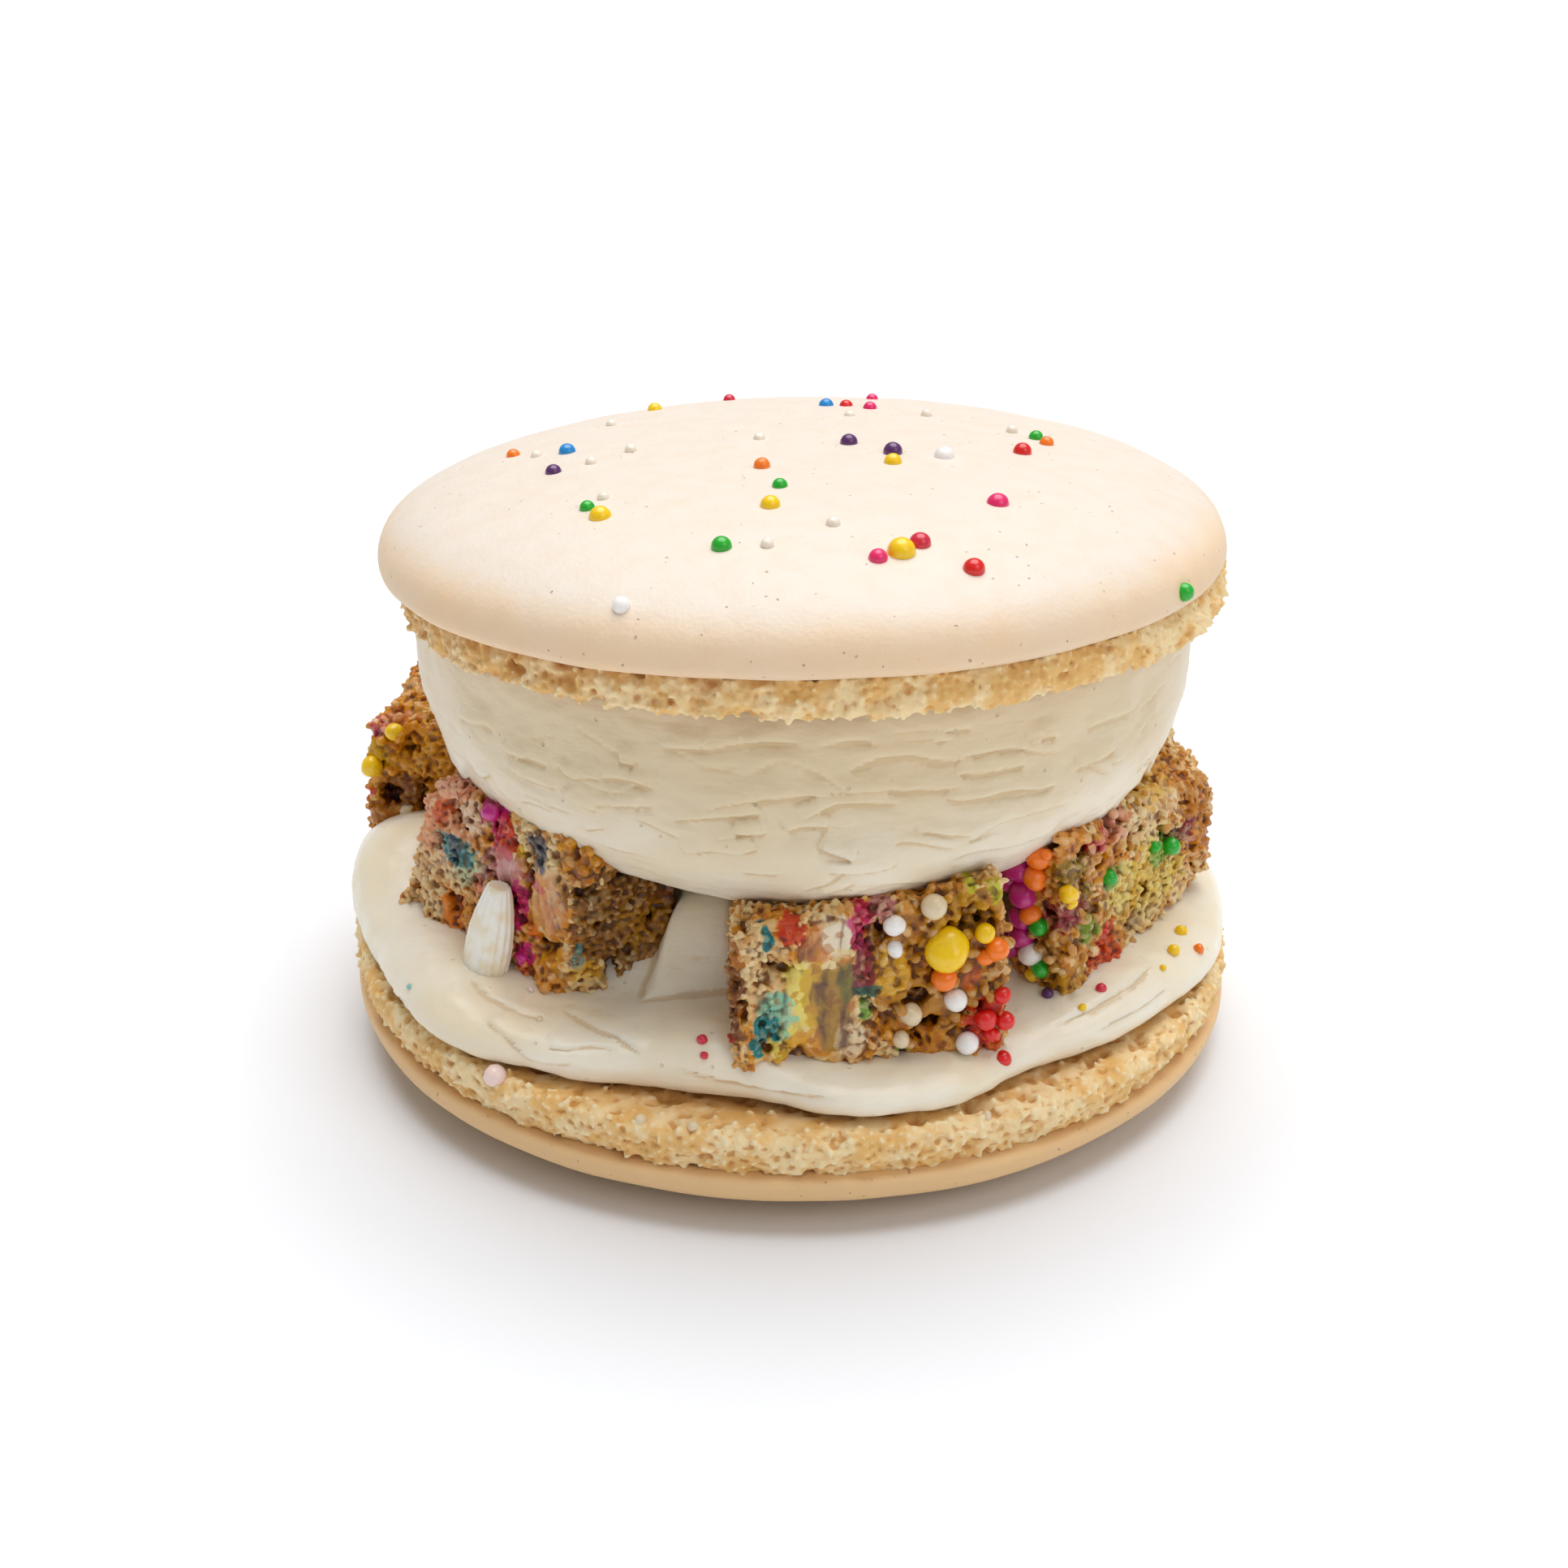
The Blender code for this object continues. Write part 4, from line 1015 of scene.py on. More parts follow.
def shell_underside(x, y):
    """Height of the upper shell's flat underside above a place."""
    tilt_x, tilt_y, _ = UPPER_TILT
    at_x, at_y, at_z = UPPER_AT
    middle = at_z - mm("upper_foot_depth") / (math.cos(tilt_x) * math.cos(tilt_y))
    return middle + math.tan(tilt_x) * (y - at_y) - math.tan(tilt_y) * (x - at_x)


def bulge(angle, z):
    """How far the bowl's side stands out at a compass angle and a height."""
    middle_angle, middle_z, out, wide, high = BOWL_BULGE
    away = ((angle - middle_angle) / wide) ** 2 + ((z - middle_z) / high) ** 2
    return out * math.exp(-away)


def on_bowl(angle, z):
    """Point of the bowl's side at a compass angle and a height."""
    radius = mm("bowl_radius")
    share = max(0.0, (BOWL_RIM_Z - z) / (BOWL_RIM_Z - BOWL_BOTTOM_Z))
    x, y = at_compass(angle, radius * squarer_ellipse(share, BOWL_POWER))
    out = 1.0 + bulge(angle, z) / radius
    return Vector((x * out + BOWL_AT_X, y * out, z))


def strewn_lips(count, first, last, longest, rng):
    """Paths of lips at random between two compass angles of the bowl."""
    paths = []
    for _ in range(count):
        angle = rng.uniform(first, last)
        z = rng.uniform(LOWEST_LIP_Z + 1.0, HIGHEST_LIP_Z)
        path = []
        for _ in range(rng.randint(4, longest)):
            path.append(on_bowl(angle, z))
            angle += rng.uniform(1.2, 2.6)
            slant = LIP_SLANT * grain((0.10 * angle, 0.25 * z, 1.0), 1.0)
            z = min(HIGHEST_LIP_Z, max(LOWEST_LIP_Z, z + slant))
        paths.append(path)
    return paths


def make_upper_cream(look):
    """The bowl of cream, stretched up to the tilted underside of the upper shell."""
    bowl_radius = mm("bowl_radius")
    outline = [(0.0, BOWL_BOTTOM_Z), (8.0, BOWL_BOTTOM_Z + 0.02)]
    bowl_steps = 16
    for step in range(3, bowl_steps):
        down, out = superellipse(math.radians(90.0 * step / bowl_steps), BOWL_POWER)
        outline.append((bowl_radius * out, BOWL_RIM_Z - (BOWL_RIM_Z - BOWL_BOTTOM_Z) * down))
    outline.append((bowl_radius, BOWL_RIM_Z))
    top_z = shell_underside(BOWL_AT_X, 0.0) + BOWL_BITE
    outline += [(bowl_radius - 0.3, top_z - 0.1), (bowl_radius - 1.2, top_z), (0.0, top_z)]
    piece = turned("upper_cream_spread", outline, BOWL_STEPS)

    def bowl(co):
        x, y, z = co
        radius = math.hypot(x, y)
        if 15.0 < radius and BOWL_BOTTOM_Z + 1.0 < z < top_z - 0.05:
            out = bulge(compass(x, y), z) + 0.5 * grain((x, y, z * 2.2), 9.0, 8.0)
            x *= 1.0 + out / radius
            y *= 1.0 + out / radius
        x += BOWL_AT_X
        follow = smoothstep(BOWL_STRETCH_FROM_Z, top_z, z)
        return Vector((x, y, z + follow * (shell_underside(x, y) + BOWL_BITE - top_z)))

    reshape(piece, bowl)
    apply_modifier(piece, "SUBSURF", levels=4, render_levels=4)
    rng = random.Random(SEED)
    height = mm("lip_height")
    reach = mm("lip_reach")
    lips = [[on_bowl(angle, z) for angle, z in lip] for lip in UPPER_LIPS]
    lips += strewn_lips(HIDDEN_LIPS, 60.0, 300.0, 9, rng)
    fine_lips = strewn_lips(FINE_LIPS, -180.0, 180.0, 10, rng)
    carve_lips(piece, fine_lips, upwards, 0.5 * height, 0.6 * reach)
    carve_lips(piece, lips, upwards, height, reach)
    relief(piece, smeared(0.6, 0.18))
    thin_out(piece, MOST_CREAM_FACES)
    to_metres(piece)
    settle(piece, "cream", cream_paint("upper_cream", look, 25.0, 36.0, 0.35), "upper_cream")


# Cake

def hidden_corners(angle, rng):
    """Eight uneven corners of a chunk that stands at a compass angle at the back of the ring."""
    width, depth, height = HIDDEN_SIZE
    middle_x, middle_y = at_compass(angle, HIDDEN_RADIUS)
    out = Vector((*at_compass(angle, 1.0), 0.0))
    side = Vector((-out.y, out.x, 0.0))
    corners = []
    for z in (HIDDEN_FOOT_Z, HIDDEN_FOOT_Z + height):
        ring = []
        for across, inward in ((-0.5, -0.5), (0.5, -0.5), (0.42, 0.5), (-0.42, 0.5)):
            point = Vector((middle_x, middle_y, z)) + side * across * width - out * inward * depth
            point += Vector([rng.uniform(-1.0, 1.0) for _ in range(3)]) * HIDDEN_UNEVEN
            ring.append(tuple(point))
        corners.append(tuple(ring))
    return tuple(corners)


def in_chunk(corners, across, inward, up):
    """Point of a chunk from its shares across, inward and up."""
    points = []
    for ring in corners:
        first, second, third, fourth = (Vector(corner) for corner in ring)
        points.append(first.lerp(second, across).lerp(fourth.lerp(third, across), inward))
    return points[0].lerp(points[1], up)


def on_face(corners, face, across, up):
    """A place on one of the two faces of a chunk that show, and the way out of it."""
    if face == 0:
        point, behind = in_chunk(corners, across, 0.0, up), in_chunk(corners, across, 1.0, up)
    else:
        point, behind = in_chunk(corners, 1.0, across, up), in_chunk(corners, 0.0, across, up)
    return point, (point - behind).normalized()


def block(name, corners):
    """A cube whose eight corners go to the chunk's, with worn edges."""
    start_clean()
    bpy.ops.mesh.primitive_cube_add(size=1.0)
    piece = rename(name)
    for vert in piece.data.vertices:
        across, inward, up = (round(value + 0.5) for value in vert.co)
        vert.co = in_chunk(corners, across, inward, up)
    bpy.ops.object.mode_set(mode="EDIT")
    bpy.ops.mesh.select_all(action="SELECT")
    bpy.ops.mesh.bevel(offset=mm("worn_edge"), segments=3, affect="EDGES")
    bpy.ops.mesh.subdivide(number_cuts=3, smoothness=0.0)
    bpy.ops.mesh.select_all(action="SELECT")
    bpy.ops.mesh.normals_make_consistent(inside=False)
    bpy.ops.object.mode_set(mode="OBJECT")
    return piece


def face_places(graph, place, corners):
    """The place in the axes of each of the two faces that show: along, inward and up."""
    turned_places = []
    for face in (0, 1):
        inputs = {"Vector": place, "Angle": -face_turn(corners, face)}
        turned_places.append(graph.node("ShaderNodeVectorRotate", {"rotation_type": "Z_AXIS"}, inputs))
    return turned_places


def face_turn(corners, face):
    """Turn about the upright axis from the X axis to the foot of a face."""
    run = Vector(corners[0][face + 1]) - Vector(corners[0][face])
    return math.atan2(run.y, run.x)


def oval(faces, corners, face, across, up, wide, tall):
    """How far a place is from the middle of an oval on a face, which ends at 1."""
    middle, _ = on_face(corners, face, across, up)
    middle.rotate(Matrix.Rotation(-face_turn(corners, face), 3, "Z"))
    deep = max(wide, tall, SPOT_DEPTH)
    return ((faces[face] - tuple(middle)) * (1.0 / wide, 1.0 / deep, 1.0 / tall)).length()


def outside(faces, corners, zones, kind):
    """1 outside the zones of a kind and 0 in them."""
    share = 1.0
    for *place, zone_kind in zones:
        if zone_kind == kind:
            share = share * oval(faces, corners, *place).between(0.75, 1.1)
    return share


def torn(seed, corners, zones):
    """Uneven faces with open hollows, as where a cake was torn, and streaks where it is sticky."""
    def sculpt(graph, mesh, place, normal):
        faces = face_places(graph, place, corners)
        sound = outside(faces, corners, zones, "smooth")
        here = place + (seed * 3.1, seed * 1.7, -seed)
        wide = graph.noise(here, 5.0, 2.0) - 0.5
        holes = graph.noise(graph.warped(here, 2.0, 1.5), 2.8, 1.0).between(0.56, 0.68)
        pores = graph.noise(graph.warped(here, 1.0, 0.8), 1.3, 1.0).between(0.56, 0.66)
        streak = graph.noise(here * (1.0, 1.0, 0.22), 1.1, 2.0) - 0.5
        gone = 1.0 - outside(faces, corners, zones, "hole")
        height = (wide * 1.4 - holes * 1.5 - pores * 0.5) * sound + streak * (1.0 - sound) * 0.9
        return push(graph, mesh, normal * (height - gone * 1.8 - CRUMB_INSET))
    return sculpt


def strew(graph, mesh, crumbs, share, seed):
    """Crumbs of unlike size and shape over a mesh, without the mesh itself."""
    spacing, smallest, largest = crumbs
    inputs = {"Mesh": mesh, "Distance Min": spacing, "Density Max": 3.0 / spacing ** 2, "Seed": seed}
    inputs["Density Factor"] = share
    settings = {"distribute_method": "POISSON"}
    points = graph.node("GeometryNodeDistributePointsOnFaces", settings, inputs, "Points")
    out = Wire(graph, points.socket.node.outputs["Normal"])
    span = {2: -0.3 * largest, 3: 0.7 * largest, "Seed": 3}
    lift = graph.node("FunctionNodeRandomValue", {"data_type": "FLOAT"}, span, 1)
    points = push(graph, points, out * lift)
    crumb = graph.node("GeometryNodeMeshIcoSphere", {}, {"Radius": 1.0, "Subdivisions": 1})
    vector = {"data_type": "FLOAT_VECTOR"}
    turns = {"Min": (0.0,) * 3, "Max": (math.tau,) * 3, "Seed": 1}
    turn = graph.node("FunctionNodeRandomValue", vector, turns)
    span = {"Min": (smallest,) * 3, "Max": (largest,) * 3, "Seed": 2}
    size = graph.node("FunctionNodeRandomValue", vector, span)
    inputs = {"Points": points, "Instance": crumb, "Rotation": turn, "Scale": size}
    strewn = graph.node("GeometryNodeInstanceOnPoints", {}, inputs)
    return graph.node("GeometryNodeRealizeInstances", {}, {"Geometry": strewn})


def joined(graph, *parts):
    """Several geometries as one."""
    whole = graph.node("GeometryNodeJoinGeometry", {}, {0: parts[0]})
    for part in parts[1:]:
        graph.tree.links.new(part.socket, whole.socket.node.inputs[0])
    return whole


def granules(seed, corners, zones):
    """Cover a chunk with crumbs: coarse ones in the coarse zones and none where it is sticky."""
    def sculpt(graph, mesh, place, normal):
        faces = face_places(graph, place, corners)
        clear = graph.noise(place, 2.4, 1.0).between(0.34, 0.44) * 0.7 + 0.3
        clear = clear * outside(faces, corners, zones, "smooth")
        fine = outside(faces, corners, zones, "coarse")
        small = strew(graph, mesh, CAKE_CRUMBS, clear * (fine * 0.85 + 0.15), seed)
        large = strew(graph, mesh, CAKE_LUMPS, (1.0 - fine) * clear, seed + 20)
        return joined(graph, mesh, small, large)
    return sculpt


def thin_out(piece, most):
    """Drop the faces that a smooth stretch doesn't need, if a piece has too many."""
    count = sum(len(face.vertices) - 2 for face in piece.data.polygons)
    if count > most:
        apply_modifier(piece, "DECIMATE", ratio=most / count)


def measured(smooth_block, room):
    """Note how deep a point of the crumb lies in the chunk, and its ridges.

    The depth is measured from the smooth block, moved out by some room so that no crumb reaches it.
    """
    def sculpt(graph, mesh, place, normal):
        inputs = {"Object": smooth_block}
        target = graph.node("GeometryNodeObjectInfo", {}, inputs, "Geometry")
        target = push(graph, target, normal * room)
        inputs = {0: target, "Sample Position": place}
        depth = graph.node("GeometryNodeProximity", {"target_element": "FACES"}, inputs, "Distance") - room
        mesh = note(graph, mesh, "hollow", depth)
        mesh = push(graph, mesh, normal * (graph.noise(place, 0.45, 3.0) - 0.5) * 0.18)
        return note(graph, mesh, "ridge", crest(graph, place, normal, 6))
    return sculpt


def cake_paint(name, look, corners, stains, zones):
    """Cake crumb with the stains that melted confetti left in it, painted shade in its crevices and hollows
    and a painted highlight on its ridges.
    """
    material, graph, shader, place = paint(name, 0.42, glow=0.12, reach=(1.0, 0.6, 0.3), depth=0.5)
    shader.inputs["Specular IOR Level"].default_value = 0.36     # less gloss than other crumb
    depth = noted(graph, "hollow")
    ridge = noted(graph, "ridge")
    grit = graph.cells(graph.warped(place, 0.7, 0.35), 0.62, "Color")    # a value for each grain
    tone = (graph.noise(place, 4.0, 2.0) + (grit.part("Z") - 0.5) * 0.25).between(0.36, 0.64)
    colour = graph.blend(tone, look.crumb_pale, look.crumb_tan)
    faces = face_places(graph, graph.warped(place, 1.3, 0.9), corners)
    for *oval_place, stain, strength in stains:
        away = oval(faces, corners, *oval_place) + (grit.part("X") - 0.5) * 0.45
        colour = graph.blend(away.between(1.10, 0.80) * strength, colour, STAIN[stain])
    sound = outside(faces, corners, zones, "smooth")
    wet = graph.noise(place, 2.0).between(0.55, 0.8) * 0.4 + (1.0 - sound)
    colour = graph.blend(grit.part("X").between(0.6, 1.0) * 0.22 * sound, colour, look.crumb_light_and_highlight)
    colour = graph.blend(grit.part("Y").between(0.60, 0.9) * 0.5, colour, look.crumb_brown, "MULTIPLY")
    # Painted shade: crevices and deeper hollows of the crumb are darkened.
    colour = graph.blend(ridge.between(0.01, -0.10) * 0.82, colour, look.crumb_painted_shade, "MULTIPLY")
    colour = graph.blend(depth.between(0.3, 1.8) * 0.9, colour, look.crumb_painted_shade, "MULTIPLY")
    # Painted highlight: the tops of the crumbs are lightened.
    colour = graph.blend(ridge.between(0.06, 0.15) * 0.18, colour, look.crumb_light_and_highlight)
    richer = {"Saturation": RICHER, "Value": DARKER, "Color": colour}
    colour = graph.node("ShaderNodeHueSaturation", {}, richer)
    height = graph.noise(place, 0.22, 2.0) * 0.04
    rough = 0.32 + graph.noise(place, 1.2) * 0.20 - wet * 0.14
    coat = wet * 0.5 + 0.16
    wire_up(
        graph, shader, Base_Color=colour, Roughness=rough, Coat_Weight=coat,
        Normal=bump(graph, height))
    return material


# Colours that confetti and baking left in the crumb; one brown also holds painted shade.
STAIN = {
    "umber": tint(176, 120, 58),
    "ochre": tint(196, 142, 30),
    "amber": tint(216, 140, 44),
    "wheat": tint(246, 206, 132),
    "sand": tint(244, 226, 188),
    "burnt": tint(110, 54, 18),
    "toast": tint(186, 114, 48),
    "lemon": tint(244, 230, 150),
    "honey": tint(226, 164, 88),
    "gold": tint(214, 168, 44),
    "olive": tint(160, 122, 40),
    "moss": tint(108, 106, 28),
    "clay": tint(214, 150, 110),
    "red": tint(205, 28, 26),
    "creamy": tint(246, 234, 212),
    "magenta": tint(196, 24, 120),
    "mauve": tint(196, 140, 152),
    "plum": tint(138, 60, 84),
    "pine": tint(6, 90, 74),
    "leaf": tint(70, 150, 60),
    "teal": tint(0, 126, 132),
    "mint": tint(150, 208, 184),
    "lime": tint(196, 204, 84),
    "orange": tint(236, 116, 34),
    "crimson": tint(210, 40, 56),
    "apricot": tint(236, 176, 122),
    "blush": tint(244, 192, 176),
    "navy": tint(10, 40, 76),
    "rose": tint(228, 112, 124),
    "yellow": tint(244, 206, 40),
    # Brown of the left chunk's side face: partly its crust, partly painted shade.
    "bark": tint(120, 80, 34),
}


# Stains: face, shares across and up, half widths across and up, colour, strength.
STAINS = {
    "cake_front": (
        (0, 0.76, 0.53, 6.2, 7.7, "umber", 0.75), (0, 0.85, 0.81, 2.8, 2.7, "ochre", 0.75),
        (0, 0.71, 0.13, 1.7, 1.2, "amber", 0.75), (0, 0.57, 0.26, 1.6, 1.5, "amber", 0.55),
        (0, 0.57, 0.59, 1.3, 2.7, "wheat", 0.6), (0, 0.12, 0.7, 2.2, 3.7, "sand", 0.5),
        (0, 0.08, 0.93, 1.6, 1.2, "sand", 0.7), (0, 0.01, 0.64, 1.1, 4.7, "burnt", 0.85),
        (0, 0.02, 0.84, 1, 1.2, "toast", 0.8), (0, 0.01, 0.33, 0.8, 1.3, "burnt", 0.7),
        (0, 0.24, 0.57, 1.1, 3, "lemon", 0.85), (0, 0.18, 0.26, 1.7, 1.9, "lemon", 0.9),
        (0, 0.25, 0.39, 0.7, 2.2, "lemon", 0.8), (0, 0.24, 0.22, 0.8, 1.3, "honey", 0.75),
        (0, 0.33, 0.2, 1.3, 1.5, "amber", 0.75), (0, 0.3, 0.53, 1, 3.5, "gold", 0.8),
        (0, 0.37, 0.39, 1.5, 4, "olive", 0.85), (0, 0.42, 0.54, 0.8, 1.9, "moss", 0.8),
        (0, 0.31, 0.82, 1.6, 1.7, "clay", 0.8), (0, 0.23, 0.94, 1.1, 1.2, "red", 0.85),
        (0, 0.4, 0.85, 1.7, 1.5, "creamy", 0.95),
        (0, 0.48, 0.9, 1.2, 1.7, "magenta", 0.75), (0, 0.46, 0.79, 0.7, 0.9, "magenta", 0.85),
        (0, 0.55, 0.95, 1, 1.1, "mauve", 0.7), (0, 0.48, 0.62, 0.8, 2.5, "plum", 0.85),
        (0, 0.49, 0.48, 1, 0.6, "pine", 0.85), (0, 0.48, 0.38, 0.7, 1, "leaf", 0.75),
        (0, 0.14, 0.93, 0.5, 0.9, "teal", 0.95), (0, 0.16, 0.4, 1.5, 2.1, "mint", 0.8),
        (0, 0.16, 0.5, 0.8, 1.1, "mint", 0.7), (0, 0.13, 0.34, 1.1, 1.4, "teal", 0.95),
        (0, 0.09, 0.24, 0.7, 1.1, "teal", 0.95), (0, 0.87, 0.98, 0.6, 0.7, "lime", 0.8),
        (0, 0.95, 0.91, 0.6, 0.9, "lime", 0.75), (0, 0.92, 0.22, 2, 2, "red", 0.9),
        (0, 0.94, 0.09, 1, 1.7, "red", 0.7), (0, 0.86, 0.47, 0.9, 0.8, "orange", 0.8),
        (0, 0.42, 0.2, 1.4, 1.8, "creamy", 0.55), (0, 0.61, 0.11, 0.6, 0.4, "leaf", 0.7),
        (0, -0.01, 0.27, 0.4, 0.8, "crimson", 0.6),
    ),
    "cake_left": (
        (0, 0.38, 0.55, 8.4, 7.7, "apricot", 0.3), (0, 0, 0.73, 2.1, 4, "apricot", 0.65),
        (0, 0.15, 1.04, 2.8, 1.6, "blush", 0.75), (0, 0.14, 0.8, 4.4, 4.4, "blush", 0.55),
        (0, 0.3, 0.88, 2.3, 1.4, "creamy", 0.6), (0, 0.39, 0.59, 3, 1.6, "mint", 0.5),
        (0, 0.22, 0.42, 3.6, 3.2, "sand", 0.65), (0, 0.57, 0.68, 2.4, 2, "mauve", 0.75),
        (0, 0.27, 0.67, 2.5, 1.5, "teal", 0.9), (0, 0.27, 0.68, 0.9, 1.3, "navy", 0.85),
        (0, 0.36, 1.04, 1.7, 1.1, "plum", 0.6), (0, 0.43, 0.93, 1.5, 2.1, "magenta", 0.9),
        (0, 0.52, 0.84, 1.6, 1.8, "crimson", 0.8), (0, 0.52, 1.06, 1.6, 1, "rose", 0.7),
        (0, 0.14, 0.84, 1, 1.1, "crimson", 0.45), (0, 0.63, 0.81, 0.7, 0.8, "yellow", 0.9),
        (0, 0.71, 0.52, 1.1, 2, "magenta", 0.85), (0, 0.73, 0.86, 1.3, 1.7, "navy", 0.95),
        (0, 0.78, 0.67, 0.7, 0.6, "magenta", 0.8), (0, 0.9, 0.6, 2.1, 2.7, "clay", 0.6),
        (0, 0.82, 0.42, 0.7, 0.8, "orange", 0.8), (0, 0.35, 0.3, 1.4, 2.4, "orange", 0.65),
        (0, 0.33, 0.13, 1.4, 0.9, "crimson", 0.6), (0, 0.47, 0.54, 1.2, 1.1, "rose", 0.55),
        (0, 0.03, 0.16, 0.8, 1.3, "crimson", 0.75), (0, 0.75, 0.13, 1, 1.2, "leaf", 0.95),
        (0, 0.83, 0.26, 1, 1.5, "magenta", 0.95), (0, 0.93, 0.33, 1.5, 1.7, "honey", 0.8),
        (0, 0.95, 0.2, 2.2, 1.5, "apricot", 0.8), (0, 0.99, 1.03, 1.3, 0.8, "rose", 0.75),
        (1, -0.09, 0.95, 3.6, 2.9, "honey", 0.85), (1, -0.07, 0.83, 2.1, 2, "toast", 0.55),
        # Painted shade: this side face leans down under the cream and is painted brown over most of it,
        # partly as its crust and partly as shade.
        (1, 0.62, 0.6, 5.6, 6.8, "bark", 0.85), (1, 1, 0.7, 2.6, 5, "burnt", 0.8),
        (1, 0.69, 0.54, 2.1, 2.3, "ochre", 0.4),
        (1, 1.06, 0.25, 2.3, 2.4, "umber", 0.7), (1, 0.18, 0.36, 0.6, 1.2, "teal", 0.7),
        (1, 1.03, 0.48, 0.6, 0.9, "pine", 0.7), (1, 0.3, 0.27, 1.4, 1, "wheat", 0.6),
        (1, 1.01, 0.26, 0.4, 0.5, "rose", 0.85),
    ),
    "cake_right": (
        (0, 0.45, 0.55, 3.3, 8.9, "umber", 0.5), (0, 0.35, 0.86, 1.3, 1, "navy", 0.95),
        (0, 0.61, 0.93, 0.8, 0.5, "teal", 0.9), (0, 0.87, 0.8, 1.5, 2.6, "clay", 0.6),
        (0, 0.7, 0.19, 2, 2.1, "ochre", 0.6), (1, 0.11, 0.72, 5, 4.2, "apricot", 0.45),
        (1, 0.52, 0.43, 7, 4.4, "lemon", 0.65), (1, 0.54, 1, 6.6, 2.8, "sand", 0.7),
        (1, 0.69, 1.24, 7.3, 2.9, "wheat", 0.7), (1, 0.86, 0.84, 3.4, 2.7, "toast", 0.65),
        (1, 0.98, 0.44, 1.6, 2.4, "toast", 0.7), (1, 0.07, 0.95, 2.9, 1.4, "apricot", 0.7),
        (1, 0.22, 1.08, 3.5, 1.1, "blush", 0.7), (1, 0.16, 1.05, 1.5, 1, "rose", 0.9),
        (1, 0.23, 0.89, 2.5, 0.8, "magenta", 0.6), (1, 0.33, 0.94, 2.5, 1.3, "blush", 0.7),
        (1, 0.07, 0.78, 2, 1.6, "moss", 0.65), (1, 0.29, 0.62, 1.5, 1.2, "leaf", 0.8),
        (1, 0.12, 0.62, 1.2, 1, "moss", 0.7), (1, 0.14, 0.42, 1.4, 1.8, "leaf", 0.65),
        (1, 0.04, 0.55, 1.9, 1.5, "plum", 0.85), (1, 0.24, 0.17, 2.8, 2.4, "crimson", 0.75),
        (1, 0.28, 0.32, 1.1, 0.7, "rose", 0.7), (1, 0.64, 0.6, 2.7, 1.5, "leaf", 0.7),
        (1, 0.78, 0.65, 1.7, 1, "plum", 0.8), (1, 0.82, 0.48, 1.1, 0.5, "mauve", 0.7),
        (1, 0.02, 0.17, 2.7, 1.5, "ochre", 0.6), (1, 0.52, 0.09, 4, 1.7, "sand", 0.6),
        (1, 0.4, 0.25, 2.7, 1.5, "clay", 0.4),
    ),
    "cake_back_left": (
        (1, 0.35, 0.55, 7, 7.4, "honey", 0.7), (1, 0.3, 0.3, 3.4, 2.4, "umber", 0.6),
        (1, 0.27, 1.23, 2.2, 1.1, "honey", 0.8),
        (1, 0.27, 1.24, 1.3, 0.6, "yellow", 0.8), (1, 0.07, 0.79, 1.3, 1.8, "gold", 0.9),
        (1, 0.08, 1, 1.1, 0.8, "magenta", 0.8), (1, 0.23, 1.01, 2.2, 1.3, "blush", 0.55),
        (1, 0.34, 0.92, 1.8, 1.1, "honey", 0.7), (1, 0.01, 0.44, 0.7, 0.6, "rose", 0.7),
        (1, 0.26, 0.47, 2.2, 1.6, "burnt", 0.7), (1, 0.13, 0.25, 1.9, 1.6, "toast", 0.6),
    ),
    "cake_back_right": (
        (0, 0.2, 0.7, 1.9, 1.8, "teal", 0.8), (0, 0.7, 0.4, 1.6, 2.2, "magenta", 0.8),
        (0, 0.5, 0.8, 2.6, 2.2, "lemon", 0.7), (0, 0.8, 0.8, 1.4, 1.2, "red", 0.8),
        (0, 0.3, 0.2, 1.5, 1.8, "leaf", 0.7), (0, 0.9, 0.2, 2.4, 3.0, "umber", 0.6),
    ),
    "cake_back": (
        (0, 0.3, 0.6, 1.6, 2.0, "magenta", 0.8), (0, 0.8, 0.7, 1.5, 1.6, "teal", 0.8),
        (0, 0.6, 0.3, 2.4, 2.0, "lemon", 0.7), (0, 0.1, 0.3, 1.4, 1.8, "crimson", 0.7),
        (0, 0.5, 0.9, 1.6, 1.3, "orange", 0.8), (0, 0.9, 0.3, 2.6, 2.6, "toast", 0.6),
    ),
    "cake_rear_left": (
        (0, 0.25, 0.75, 1.5, 1.9, "leaf", 0.8), (0, 0.6, 0.5, 1.8, 1.4, "navy", 0.6),
        (0, 0.85, 0.8, 1.6, 1.6, "rose", 0.8), (0, 0.75, 0.2, 1.6, 2.0, "amber", 0.7),
        (0, 0.3, 0.3, 1.6, 1.8, "magenta", 0.7), (0, 0.1, 0.5, 2.6, 3.4, "umber", 0.5),
    ),
}


def all_corners():
    """The corners of every chunk: those that the photo shows and the hidden ones."""
    rng = random.Random(SEED)
    corners = dict(CHUNKS)
    for name, angle in HIDDEN_CHUNKS.items():
        corners[name] = hidden_corners(angle, rng)
    return corners


